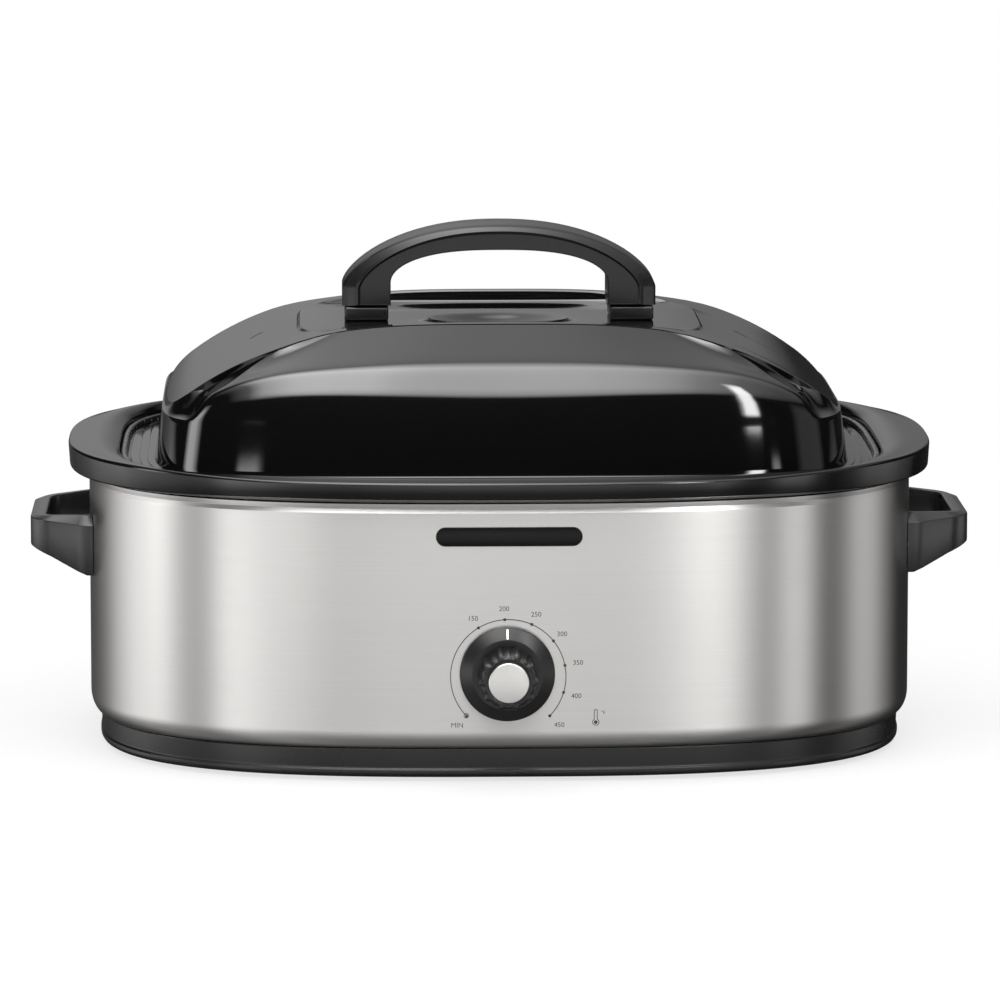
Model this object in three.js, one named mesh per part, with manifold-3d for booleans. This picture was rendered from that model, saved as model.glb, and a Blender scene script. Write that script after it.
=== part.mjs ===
// Electric roaster oven: a brushed steel body on a black base, a lift-out cooking pan with a rack,
// and a domed lid that lifts off. Millimetres, +Z up, origin on the table under the middle.
// The front, with the control knob, faces -Y.

import * as THREE from 'three';
import { mergeVertices } from 'three/addons/utils/BufferGeometryUtils.js';
import Module from 'manifold-3d';

const wasm = await Module();
wasm.setup();

// Clearances
const fitGap = 0.3;
const cutOverrun = 2;

// Number of sides and squareness of the plan outlines (2 is an ellipse, higher is squarer)
const outlineSides = 48;
const roundSides = 16;
const screwSides = 10;
const wireSides = 6;
const bodySquareness = 2.85;
const rimSquareness = 3.7;
const wellSquareness = 3.8;
const panSquareness = 4.9;
const lidSquareness = 5.5;

// Levels above the table
const footHeight = 6;
const skirtClearance = 2.5;
const wrapBottom = 20.5;
const wrapHeight = 144.5;
const wrapTop = wrapBottom + wrapHeight;
const knobHeight = 67;

// Body wrap
const wrapHalfWidth = 254;
const wrapHalfDepth = 192;
const wrapWall = 0.8;
const wrapCurl = 6;
const wrapCurlHeight = 11;
const wrapBead = 1.1;
const wrapBeadHeight = 2.4;

// Base tray
const trayFloor = 2;
const traySkirtWall = 3.5;
const traySkirtRadius = 3;
const trayLipHeight = 9;
const trayLipWall = 2;
const trayTop = footHeight + fitGap + trayFloor;
const bossRadius = 8;
const bossHeight = 8;
const bossInsetSide = 138;
const bossInsetFront = 76;

// Feet
const footRadius = 12;
const footTopRadius = 10;
const footInsetSide = 84;
const footInsetFront = 66;
const footHoleRadius = 3.6;

// Rim collar
const rimOverhangSide = 13;
const rimOverhangFront = 15;
const rimRise = 18.5;
const rimEdgeHeight = wrapTop + rimRise;
const rimCrown = 4.5;
const rimCrestHeight = rimEdgeHeight + rimCrown;
const rimFace = 9.5;
const rimFaceLean = 5;
const rimEdgeRadius = 2;
const rimInsetSide = 18;
const rimInsetFront = 6;
const rimHalfWidthInner = wrapHalfWidth - rimInsetSide;
const rimHalfDepthInner = wrapHalfDepth - rimInsetFront;
const rimLedge = 8;
const rimLedgeThickness = 2.5;
const rimLedgeDrop = 9;
const rimLedgeHeight = rimEdgeHeight - rimLedgeDrop;
const rimLegHeight = 10;
const rimLegWall = 2;
const rimCrownShares = [0.3, 0.55, 0.8];

// Heat shield
const shieldInsetSide = 18;
const shieldInsetFront = 27;
const shieldWall = 1;
const shieldLip = 8;
const shieldBottom = trayTop + bossHeight + fitGap;

// Inner well
const wellWall = 1;
const wellStandOff = 6.4;
const wellBottom = shieldBottom + shieldLip + wellStandOff;
const wellInset = 11;
const wellTopHalfWidth = rimHalfWidthInner - wellInset;
const wellTopHalfDepth = rimHalfDepthInner - wellInset;
const wellDraftSide = 11;
const wellDraftFront = 12;
const wellFootRadius = 16;
const wellFlange = 8;

// Insert pan
const panWall = 1.2;
const panStandOff = 25;
const panFloorHeight = wellBottom + panStandOff;
const panInsetSide = 16;
const panInsetFront = 14;
const panTopHalfWidth = wellTopHalfWidth - panInsetSide;
const panTopHalfDepth = wellTopHalfDepth - panInsetFront;
const panDraft = 11;
const panFootRadius = 16;
const panLipGap = 2;
const panBead = 1.6;

// Roasting rack
const rackWire = 5;
const rackGapSide = 14;
const rackGapFront = 16;
const rackHalfLength = panTopHalfWidth - panDraft - panFootRadius - rackGapSide;
const rackHalfWidth = panTopHalfDepth - panDraft - panFootRadius - rackGapFront;
const rackCornerRadius = 34;
const rackBarCount = 9;
const rackLegHeight = 9;
const rackLegInset = 46;
const rackLoopHeight = 34;
const rackLoopHalfWidth = 38;
const rackLoopShoulderShares = [0.75, 0.92];
const wireTension = 0.1;

// Lid
const lidWall = 1.2;
const lidSeatSide = 6;
const lidSeatFront = 5;
const lidFlangeSide = 16;
const lidFlangeFront = 15;
const lidHalfWidth = rimHalfWidthInner - panLipGap - lidSeatSide - lidFlangeSide;
const lidHalfDepth = rimHalfDepthInner - panLipGap - lidSeatFront - lidFlangeFront;
const lidLean = 5;
const lidStepRise = 3.2;
const lidStepWidth = 5;
const lidWallHeight = 26.8;
const lidCrownRise = 53.5;
const lidArchPower = 4;
const lidFlankShare = 0.42;
const lidFlankPower = 14;
const lidFlankShares = [0, 0.04, 0.11, 0.22, 0.42, 0.7];
const lidCreaseInsetSide = 20;
const lidCreaseInsetFront = 71;
const lidCreaseHalfWidth = lidHalfWidth - lidCreaseInsetSide;
const lidCreaseHalfDepth = lidHalfDepth - lidCreaseInsetFront;
const lidPanelInsetSide = 68;
const lidPanelInsetFront = 8;
const lidPanelHalfWidth = lidCreaseHalfWidth - lidPanelInsetSide;
const lidPanelHalfDepth = lidCreaseHalfDepth - lidPanelInsetFront;
const lidPanelSink = 7;
const lidPanelSlope = 4;
const lidDishInset = 72;
const lidDishHalfWidth = lidPanelHalfWidth - lidDishInset;
const lidDishHalfDepth = 26;
const lidDishDepth = 6;
const lidDishShares = [0.7, 0.3];
const ventLength = 10;
const ventWidth = 2.6;
const ventShare = 0.38;

// Lid handle
const handleInset = 27;
const handleHalfSpan = lidPanelHalfWidth - handleInset;
const handleDepth = 44;
const handleRise = 50.4;
const handleShoulderRise = 11.4;
const handleFootLength = 30;
const handleGapHalfWidth = handleHalfSpan - handleFootLength;
const handleThickness = 15.5;
const handleGapSpringRise = 14.9;
const handleEdge = 1.8;
const handleArchPowers = [2.2, 0.66];
const gapArchPowers = [2.6, 0.5];
const spacerHeight = 8.5;
const spacerInset = 1.5;
const screwSpacing = handleHalfSpan + handleGapHalfWidth;
const screwRadius = 2.2;
const screwHeadRadius = 4.6;
const screwHeadHeight = 2.6;
const screwCrownRadius = 2.8;
const lidScrewLength = 26;
const washerRadius = 8;
const washerThickness = 1.2;

// Side handles
const gripReach = 36;
const gripTaper = 15;
const gripHalfLengthInner = 62;
const gripHalfLengthOuter = gripHalfLengthInner - gripTaper;
const gripBarThickness = 10;
const gripArmThickness = 9;
const gripDrop = 21;
const gripBarTop = wrapTop - gripDrop;
const gripBarHeight = 20;
const gripBarBottom = gripBarTop - gripBarHeight;
const gripRootFall = 6.5;
const gripRootTop = gripBarTop - gripRootFall;
const gripRootHeight = 29.5;
const gripRootBottom = gripRootTop - gripRootHeight;
const gripCorner = 7;
const gripScrewLength = 12;
const gripScrewHeight = gripRootTop - gripRootHeight / 2;

// Control knob
const knobSkirtRadius = 28.5;
const knobSkirtThickness = 3.2;
const knobSkirtCone = 3;
const knobGripRadius = 18.2;
const knobLobeDepth = 1.7;
const knobLobes = 10;
const knobGripLength = 28;
const knobGripEdge = 2;
const knobStandOff = 1.2;
const knobCapRadius = 12.1;
const knobCapThickness = 1.6;
const knobCapSink = 0.8;
const knobCapEdge = 1;
const knobNutPocketGap = 1.9;
const shaftRadius = 3;
const shaftLength = 30;
const shaftGrip = 14;

// Thermostat
const thermoWidth = 36;
const thermoDepth = 13;
const thermoSetback = 1;
const bushRadius = 5;
const bushLength = 4.5;
const bushBoreGap = 0.6;
const nutWidth = 14;
const nutThickness = 2.2;
const sensorRadius = 4;
const sensorPadWidth = 26;
const sensorPadHeight = 18;
const sensorPadThickness = 1.5;
const bracketThickness = 1.5;
const bracketWidth = 30;
const bracketOverhang = 3;
const bracketReach = thermoDepth + bracketOverhang;

// Insulation and heater bands
const bandThickness = 1.6;
const bandHeight = 20;
const bandSpacing = 35;
const bandClearance = 7;
const blanketThickness = 5;
const blanketRise = 3;
const blanketBottom = wellBottom + wellFootRadius + blanketRise;
const blanketDrop = 13;
const blanketTop = wrapTop - blanketDrop;
const blanketWindowGap = 2;
const lowerBandHeight = knobHeight + sensorPadHeight / 2 + bandClearance + bandHeight / 2;
const upperBandHeight = lowerBandHeight + bandSpacing;

// Centre tie
const tieRadius = 3;
const tieHeadRadius = 9;
const tieHeadHeight = 3;
const tieNutWidth = 11;
const tieNutThickness = 2.8;
const baseScrewLength = 13;

// Wiring
const blockWidth = 42;
const blockDepth = 17;
const blockHeight = 15;
const blockSetback = 16;
const glandHeight = 46;
const glandOffset = 62;
const glandRadius = 6.5;
const glandFlangeRadius = 10;
const glandFlange = 3.5;
const glandBore = 3.8;
const glandRidgeRadius = 8.5;

// Badge
const badgeLength = 86;
const badgeWidth = 11.5;
const badgeThickness = 0.8;
const badgeDrop = 15.5;
const badgeHeight = wrapTop - badgeDrop;

// Finishes
const finishes = {
  brushedSteel: { color: 0xc9c7c3, roughness: 0.32, metalness: 1 },
  blackEnamel: { color: 0x17171a, roughness: 0.16, metalness: 0.1 },
  blackPlastic: { color: 0x1e1e20, roughness: 0.42, metalness: 0 },
  darkPan: { color: 0x2a2b2e, roughness: 0.35, metalness: 0.2 },
  bareSteel: { color: 0xa9adb2, roughness: 0.4, metalness: 1 },
  aluminium: { color: 0xc6c9cc, roughness: 0.45, metalness: 1 },
  heaterFoil: { color: 0x8d8778, roughness: 0.55, metalness: 0.6 },
  insulation: { color: 0xe6dfc8, roughness: 0.95, metalness: 0 },
  ceramic: { color: 0xe9e4da, roughness: 0.5, metalness: 0 },
  softRubber: { color: 0x18181a, roughness: 0.85, metalness: 0 },
};

// Solids

function closedSurface(geometry) {
  const bare = geometry.clone();
  bare.deleteAttribute('normal');
  bare.deleteAttribute('uv');
  return mergeVertices(bare);
}

function toSolid(geometry) {
  const merged = closedSurface(geometry);
  return new wasm.Manifold(new wasm.Mesh({
    numProp: 3,
    vertProperties: new Float32Array(merged.attributes.position.array),
    triVerts: new Uint32Array(merged.index.array),
  }));
}

function toGeometry(solid) {
  const mesh = solid.getMesh();
  const geometry = new THREE.BufferGeometry();
  geometry.setAttribute('position', new THREE.BufferAttribute(mesh.vertProperties, 3));
  geometry.setIndex(new THREE.BufferAttribute(mesh.triVerts, 1));
  geometry.computeVertexNormals();
  return geometry;
}

function cut(geometry, ...tools) {
  return toGeometry(tools.reduce((solid, tool) => solid.subtract(toSolid(tool)), toSolid(geometry)));
}

function join(geometry, ...others) {
  return toGeometry(others.reduce((solid, other) => solid.add(toSolid(other)), toSolid(geometry)));
}

// Outlines: a ring is a superellipse in plan at a height, or on a surface given by a function

function ring(halfWidth, halfDepth, squareness, height) {
  return { halfWidth, halfDepth, squareness, height };
}

function ringPoints({ halfWidth, halfDepth, squareness, height }) {
  const points = [];
  for (let side = 0; side < outlineSides; side += 1) {
    const angle = (2 * Math.PI * (side + 0.5)) / outlineSides;
    const across = Math.abs(Math.cos(angle)) ** squareness + Math.abs(Math.sin(angle)) ** squareness;
    const reach = across ** (-1 / squareness);
    const x = halfWidth * reach * Math.cos(angle);
    const y = halfDepth * reach * Math.sin(angle);
    points.push(new THREE.Vector3(x, y, typeof height === 'function' ? height(x, y) : height));
  }
  return points;
}

function blendRings(from, to, share, height) {
  const start = ringPoints(from);
  const end = ringPoints(to);
  return start.map((point, side) => {
    const mixed = point.clone().lerp(end[side], share);
    mixed.z = height(mixed.x, mixed.y);
    return mixed;
  });
}

function bodyRing(offset, height) {
  return ring(wrapHalfWidth + offset, wrapHalfDepth + offset, bodySquareness, height);
}

// Skin through a list of rings: closed on itself like a hoop, or capped at both ends
function loft(rings, hoop = false) {
  const loops = rings.map((item) => (Array.isArray(item) ? item : ringPoints(item)));
  const sides = loops[0].length;
  const positions = loops.flat().flatMap((point) => point.toArray());
  const faces = [];
  const spans = hoop ? loops.length : loops.length - 1;
  for (let row = 0; row < spans; row += 1) {
    const next = (row + 1) % loops.length;
    for (let side = 0; side < sides; side += 1) {
      const after = (side + 1) % sides;
      const a = row * sides + side;
      const b = row * sides + after;
      const c = next * sides + after;
      const d = next * sides + side;
      faces.push(a, b, c, a, c, d);
    }
  }
  if (!hoop) {
    [0, loops.length - 1].forEach((row) => {
      const centre = loops[row].reduce((sum, point) => sum.add(point), new THREE.Vector3());
      centre.divideScalar(sides);
      const hub = positions.length / 3;
      positions.push(...centre.toArray());
      for (let side = 0; side < sides; side += 1) {
        const a = row * sides + side;
        const b = row * sides + ((side + 1) % sides);
        faces.push(...(row === 0 ? [hub, b, a] : [hub, a, b]));
      }
    });
  }
  return outward(positions, faces);
}

// Turns the faces outwards where the order of the rings leaves them facing in
function outward(positions, faces) {
  let volume = 0;
  const corner = (index) => new THREE.Vector3().fromArray(positions, index * 3);
  for (let face = 0; face < faces.length; face += 3) {
    const [a, b, c] = [0, 1, 2].map((step) => corner(faces[face + step]));
    volume += a.dot(b.cross(c));
  }
  if (volume < 0) faces.reverse();
  const geometry = new THREE.BufferGeometry();
  geometry.setAttribute('position', new THREE.Float32BufferAttribute(positions, 3));
  geometry.setIndex(faces);
  geometry.computeVertexNormals();
  return geometry;
}

// Upright cylinder standing on a height, or one lying along Y or X from a start
function upright(radius, bottom, top, x = 0, y = 0, sides = roundSides) {
  const geometry = new THREE.CylinderGeometry(radius, radius, top - bottom, sides);
  geometry.rotateX(Math.PI / 2);
  geometry.translate(x, y, (top + bottom) / 2);
  return geometry;
}

function alongY(radius, from, to, x, z, sides = roundSides) {
  const geometry = new THREE.CylinderGeometry(radius, radius, Math.abs(to - from), sides);
  geometry.translate(x, (from + to) / 2, z);
  return geometry;
}

function alongX(radius, from, to, y, z, sides = roundSides) {
  const geometry = new THREE.CylinderGeometry(radius, radius, Math.abs(to - from), sides);
  geometry.rotateZ(Math.PI / 2);
  geometry.translate((from + to) / 2, y, z);
  return geometry;
}

function box(width, depth, height, x, y, bottom) {
  const geometry = new THREE.BoxGeometry(width, depth, height);
  geometry.translate(x, y, bottom + height / 2);
  return geometry;
}

// Where the body outline passes at a given distance from the middle, for a ring of that offset
function outlineDepth(x, offset = 0) {
  const share = Math.abs(x) / (wrapHalfWidth + offset);
  return (wrapHalfDepth + offset) * (1 - share ** bodySquareness) ** (1 / bodySquareness);
}

function outlineWidth(y, offset = 0) {
  const share = Math.abs(y) / (wrapHalfDepth + offset);
  return (wrapHalfWidth + offset) * (1 - share ** bodySquareness) ** (1 / bodySquareness);
}

// Base

const skirtOffset = -wrapCurl;
const lipOffset = -wrapCurl - wrapWall - fitGap;
const corners = [
  ['front_left', -1, -1],
  ['front_right', 1, -1],
  ['rear_left', -1, 1],
  ['rear_right', 1, 1],
];
const footX = wrapHalfWidth - footInsetSide;
const footY = wrapHalfDepth - footInsetFront;
const bossX = wrapHalfWidth - bossInsetSide;
const bossY = wrapHalfDepth - bossInsetFront;

function baseTray() {
  const floorUnder = footHeight + fitGap;
  const inner = skirtOffset - traySkirtWall;
  const shell = loft([
    bodyRing(inner, floorUnder),
    bodyRing(inner, skirtClearance),
    bodyRing(skirtOffset - traySkirtRadius / 2, skirtClearance),
    bodyRing(skirtOffset - traySkirtRadius / 5, skirtClearance + traySkirtRadius / 3),
    bodyRing(skirtOffset, skirtClearance + traySkirtRadius),
    bodyRing(skirtOffset, wrapBottom),
    bodyRing(lipOffset, wrapBottom),
    bodyRing(lipOffset, wrapBottom + trayLipHeight),
    bodyRing(lipOffset - trayLipWall, wrapBottom + trayLipHeight),
    bodyRing(lipOffset - trayLipWall, trayTop),
  ]);
  const bosses = corners.map(([, sideX, sideY]) => (
    upright(bossRadius, trayTop - trayFloor / 2, trayTop + bossHeight, sideX * bossX, sideY * bossY)));
  const screwHoles = corners.map(([, sideX, sideY]) => (
    upright(screwRadius + fitGap, -cutOverrun, trayTop + bossHeight + cutOverrun,
      sideX * bossX, sideY * bossY)));
  const pegHoles = corners.map(([, sideX, sideY]) => (
    upright(footHoleRadius + fitGap, -cutOverrun, trayTop + cutOverrun, sideX * footX, sideY * footY)));
  const tieHole = upright(tieRadius + fitGap, -cutOverrun, trayTop + cutOverrun);
  return cut(join(shell, ...bosses), ...screwHoles, ...pegHoles, tieHole);
}

function foot() {
  const pegTop = trayTop + footTopRadius / 10;
  const profile = [
    [0, 0],
    [footTopRadius, 0],
    [footRadius, footHeight / 3],
    [footRadius, footHeight],
    [footHoleRadius, footHeight],
    [footHoleRadius, pegTop],
    [0, pegTop],
  ].map(([radius, height]) => new THREE.Vector2(radius, height));
  const geometry = new THREE.LatheGeometry(profile, roundSides);
  geometry.rotateX(Math.PI / 2);
  return geometry;
}

// Body wrap

const gripScrewY = gripHalfLengthInner - (gripArmThickness * 2) / 3;

function bodyWrap() {
  const shell = loft([
    bodyRing(-wrapCurl, wrapBottom + fitGap),
    bodyRing(-wrapCurl / 3, wrapBottom + wrapCurlHeight / 2),
    bodyRing(0, wrapBottom + wrapCurlHeight),
    bodyRing(0, wrapTop - wrapBeadHeight),
    bodyRing(wrapBead, wrapTop - wrapBeadHeight / 2),
    bodyRing(wrapBead, wrapTop),
    bodyRing(-wrapWall, wrapTop),
    bodyRing(-wrapWall, wrapBottom + wrapCurlHeight),
    bodyRing(-wrapCurl / 3 - wrapWall, wrapBottom + wrapCurlHeight / 2),
    bodyRing(-wrapCurl - wrapWall, wrapBottom + fitGap),
  ], true);
  const front = -wrapHalfDepth - cutOverrun;
  const bushHole = alongY(bushRadius + fitGap, front, front + bushLength + cutOverrun * 3, 0, knobHeight);
  const rear = outlineDepth(glandOffset);
  const glandHole = alongY(glandRadius + fitGap, rear - cutOverrun * 3, rear + cutOverrun * 3,
    glandOffset, glandHeight);
  const screwHoles = [-1, 1].flatMap((sideX) => [-1, 1].map((sideY) => {
    const wall = outlineWidth(gripScrewY);
    return alongX(screwRadius + fitGap, sideX * (wall - cutOverrun * 3), sideX * (wall + cutOverrun * 3),
      sideY * gripScrewY, gripScrewHeight);
  }));
  return cut(shell, bushHole, glandHole, ...screwHoles);
}

// Rim collar

const rimOuterWidth = wrapHalfWidth + rimOverhangSide;
const rimOuterDepth = wrapHalfDepth + rimOverhangFront;

function rimCollar() {
  const outerRing = (inset, height) => (
    ring(rimOuterWidth - inset, rimOuterDepth - inset, bodySquareness, height));
  const innerRing = (inset, height) => (
    ring(rimHalfWidthInner - inset, rimHalfDepthInner - inset, rimSquareness, height));
  const halfWay = (share, height) => blendRings(outerRing(0, height), innerRing(0, height), share,
    () => height);
  const collarFoot = wrapTop + fitGap;
  const faceBottom = rimEdgeHeight - rimFace;
  const ledgeUnder = rimLedgeHeight - rimLedgeThickness;
  const legOffset = -wrapWall - fitGap;
  return loft([
    bodyRing(wrapBead, collarFoot),
    outerRing(rimFaceLean + rimEdgeRadius / 2, faceBottom - rimEdgeRadius / 2),
    outerRing(rimFaceLean, faceBottom),
    outerRing(0, rimEdgeHeight - rimEdgeRadius),
    outerRing(rimEdgeRadius / 3, rimEdgeHeight - rimEdgeRadius / 3),
    outerRing(rimEdgeRadius, rimEdgeHeight),
    halfWay(rimCrownShares[0], (rimEdgeHeight + rimCrestHeight * 2) / 3),
    halfWay(rimCrownShares[1], rimCrestHeight),
    halfWay(rimCrownShares[2], (rimEdgeHeight + rimCrestHeight * 2) / 3),
    innerRing(0, rimEdgeHeight - rimEdgeRadius / 2),
    innerRing(rimEdgeRadius / 2, rimLedgeHeight),
    innerRing(rimLedge, rimLedgeHeight),
    innerRing(rimLedge, ledgeUnder),
    bodyRing(legOffset - rimLegWall, ledgeUnder),
    bodyRing(legOffset - rimLegWall, wrapTop - rimLegHeight),
    bodyRing(legOffset, wrapTop - rimLegHeight),
    bodyRing(legOffset, collarFoot),
  ], true);
}

// Inner well: its outer face at a height, so that what wraps it follows its taper

const wellFlangeBottom = rimLedgeHeight + fitGap;
const wellTop = wellFlangeBottom + wellWall;
const wellFootTop = wellBottom + wellFootRadius;

function wellRing(height, offset = 0) {
  const share = (wellTop - height) / (wellTop - wellFootTop);
  return ring(
    wellTopHalfWidth - wellDraftSide * share + offset,
    wellTopHalfDepth - wellDraftFront * share + offset,
    wellSquareness,
    height,
  );
}

function innerWell() {
  const flangeRing = (height) => ring(wellTopHalfWidth + wellFlange, wellTopHalfDepth + wellFlange,
    rimSquareness, height);
  const wall = (offset, drop) => [
    { ...wellRing(wellFootTop, offset), height: wellFootTop - drop },
    { ...wellRing(wellFootTop, offset - wellFootRadius / 5), height: wellBottom + wellFootRadius / 3 - drop },
    { ...wellRing(wellFootTop, offset - wellFootRadius), height: wellBottom - drop },
  ];
  return loft([
    ...wall(-wellWall, -wellWall).reverse(),
    wellRing(wellTop, -wellWall),
    flangeRing(wellTop),
    flangeRing(wellFlangeBottom),
    wellRing(wellFlangeBottom),
    ...wall(0, 0),
  ]);
}

function heaterBand(middle) {
  const bottom = middle - bandHeight / 2;
  const top = middle + bandHeight / 2;
  return loft([
    wellRing(bottom, fitGap),
    wellRing(top, fitGap),
    wellRing(top, fitGap + bandThickness),
    wellRing(bottom, fitGap + bandThickness),
  ], true);
}

function insulationBlanket() {
  const inner = fitGap + bandThickness + fitGap;
  const sleeve = loft([
    wellRing(blanketBottom, inner),
    wellRing(blanketTop, inner),
    wellRing(blanketTop, inner + blanketThickness),
    wellRing(blanketBottom, inner + blanketThickness),
  ], true);
  const windowSize = thermoWidth + 2 * blanketWindowGap;
  const window = box(windowSize, wellTopHalfDepth, windowSize, 0, -wellTopHalfDepth,
    knobHeight - windowSize / 2);
  return cut(sleeve, window);
}

// Heat shield and centre tie

function heatShield() {
  const shieldRing = (offset, height) => ring(
    wellTopHalfWidth - wellDraftSide - shieldInsetSide + offset,
    wellTopHalfDepth - wellDraftFront - shieldInsetFront + offset,
    wellSquareness,
    height,
  );
  const dish = loft([
    shieldRing(-shieldLip, shieldBottom),
    shieldRing(0, shieldBottom + shieldLip),
    shieldRing(-shieldWall, shieldBottom + shieldLip),
    shieldRing(-shieldLip - shieldWall, shieldBottom + shieldWall),
  ]);
  const holes = corners.map(([, sideX, sideY]) => (
    upright(screwRadius + fitGap, trayTop, shieldBottom + shieldLip, sideX * bossX, sideY * bossY)));
  return cut(dish, ...holes, upright(tieRadius + fitGap, trayTop, shieldBottom + shieldLip));
}

function centreTie() {
  const top = wellBottom - fitGap;
  const head = upright(tieHeadRadius, top - tieHeadHeight, top);
  return join(head, upright(tieRadius, skirtClearance, top - tieHeadHeight / 2));
}

function tieNut() {
  const top = footHeight;
  const body = upright(tieNutWidth / Math.sqrt(3), top - tieNutThickness, top, 0, 0, 6);
  return cut(body, upright(tieRadius + fitGap, 0, top + cutOverrun));
}

// Screw with a domed head at its origin and its shank along +Z
function panScrew(length) {
  const profile = [
    [0, -screwHeadHeight],
    [screwCrownRadius, -screwHeadHeight],
    [screwHeadRadius, -screwHeadHeight / 3],
    [screwHeadRadius, 0],
    [screwRadius, 0],
    [screwRadius, length - screwRadius],
    [screwRadius / 2, length],
    [0, length],
  ].map(([radius, height]) => new THREE.Vector2(radius, height));
  const body = new THREE.LatheGeometry(profile, screwSides);
  body.rotateX(Math.PI / 2);
  const slot = box(screwHeadRadius, screwRadius / 2, screwHeadHeight / 2 + cutOverrun, 0, 0,
    -screwHeadHeight - cutOverrun);
  return cut(body, slot);
}

function washer() {
  const plate = upright(washerRadius, 0, washerThickness);
  return cut(plate, upright(screwRadius + fitGap, -cutOverrun, washerThickness + cutOverrun));
}

// Insert pan

const panLipBottom = wellTop + fitGap;
const panLipTop = panLipBottom + panWall;
const panFootTop = panFloorHeight + panFootRadius;

function panRing(height, offset = 0) {
  const share = (panLipTop - height) / (panLipTop - panFootTop);
  return ring(
    panTopHalfWidth - panDraft * share + offset,
    panTopHalfDepth - panDraft * share + offset,
    panSquareness,
    height,
  );
}

function insertPan() {
  const lipRing = (offset, height) => ring(rimHalfWidthInner - panLipGap + offset,
    rimHalfDepthInner - panLipGap + offset, rimSquareness, height);
  const bowl = (offset, drop) => [
    { ...panRing(panFootTop, offset), height: panFootTop - drop },
    { ...panRing(panFootTop, offset - panFootRadius / 5), height: panFloorHeight + panFootRadius / 3 - drop },
    { ...panRing(panFootTop, offset - panFootRadius), height: panFloorHeight - drop },
  ];
  return loft([
    ...bowl(0, 0).reverse(),
    panRing(panLipTop),
    lipRing(-panBead * 2, panLipTop),
    lipRing(-panBead, panLipTop + panBead),
    lipRing(0, panLipTop),
    lipRing(0, panLipBottom),
    panRing(panLipBottom, panWall),
    ...bowl(panWall, panWall),
  ]);
}

// Roasting rack of welded wire

function wireLoop(points, closed) {
  const path = new THREE.CatmullRomCurve3(points, closed, 'catmullrom', wireTension);
  const section = new THREE.Shape();
  section.absarc(0, 0, rackWire / 2, 0, 2 * Math.PI);
  return new THREE.ExtrudeGeometry(section, {
    steps: closed ? points.length : points.length * 2,
    extrudePath: path,
    curveSegments: 3,
    bevelEnabled: false,
  });
}

function roastingRack() {
  const level = panFloorHeight + fitGap + rackLegHeight + rackWire / 2;
  const cornerTurns = [0, 1, 2, 3, 4];
  const frame = [[1, 1], [-1, 1], [-1, -1], [1, -1]].flatMap(([sideX, sideY], quarter) => (
    cornerTurns.map((turn) => {
      const angle = ((quarter + turn / (cornerTurns.length - 1)) * Math.PI) / 2;
      return new THREE.Vector3(
        sideX * (rackHalfLength - rackCornerRadius) + rackCornerRadius * Math.cos(angle),
        sideY * (rackHalfWidth - rackCornerRadius) + rackCornerRadius * Math.sin(angle),
        level,
      );
    })));
  const pitch = (2 * (rackHalfLength - rackCornerRadius)) / (rackBarCount - 1);
  const bars = Array.from({ length: rackBarCount }, (unused, index) => {
    const x = (index - (rackBarCount - 1) / 2) * pitch;
    return alongY(rackWire / 2, -rackHalfWidth, rackHalfWidth, x, level - rackWire / 2, wireSides);
  });
  const runners = [-1, 1].map((side) => (
    alongX(rackWire / 2, -rackHalfLength, rackHalfLength, (side * rackHalfWidth) / 2, level, wireSides)));
  const legs = corners.map(([, sideX, sideY]) => upright(rackWire / 2, level - rackLegHeight - rackWire / 2,
    level, sideX * (rackHalfLength - rackLegInset), (sideY * rackHalfWidth) / 2, wireSides));
  const loops = [-1, 1].map((side) => {
    const x = side * rackHalfLength;
    const half = rackLoopHalfWidth;
    const shoulderY = half * rackLoopShoulderShares[0];
    const shoulderZ = level + rackLoopHeight * rackLoopShoulderShares[1];
    return wireLoop([
      [x, -half, level],
      [x, -half, level + rackLoopHeight / 2],
      [x, -shoulderY, shoulderZ],
      [x, 0, level + rackLoopHeight],
      [x, shoulderY, shoulderZ],
      [x, half, level + rackLoopHeight / 2],
      [x, half, level],
    ].map((point) => new THREE.Vector3(...point)), false);
  });
  return join(wireLoop(frame, true), ...bars, ...runners, ...legs, ...loops);
}

// Lid: a wall with a stepped flange, and a crown that is arched along the length
// between two creases and falls away to the front and back

const lidFlangeBottom = panLipTop + fitGap;
const lidWallBottom = lidFlangeBottom + lidWall + lidStepRise * 2;
const lidShoulderHeight = lidWallBottom + lidWallHeight;
const lidPanelHeight = lidShoulderHeight + lidCrownRise - lidPanelSink;

function crownHeight(x, y, shrink = 0) {
  const halfWidth = lidHalfWidth - lidLean - shrink;
  const halfDepth = lidHalfDepth - lidLean - shrink;
  const along = Math.min(Math.abs(x) / halfWidth, 1);
  const arch = lidCrownRise * (1 - along ** lidArchPower);
  const edge = halfDepth * (1 - along ** lidSquareness) ** (1 / lidSquareness);
  const past = (Math.abs(y) - lidCreaseHalfDepth) / Math.max(edge - lidCreaseHalfDepth, fitGap);
  const flank = THREE.MathUtils.clamp(past, 0, 1);
  const fall = lidFlankShare * flank + (1 - lidFlankShare) * flank ** lidFlankPower;
  return lidShoulderHeight - shrink + arch * (1 - fall);
}

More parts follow.
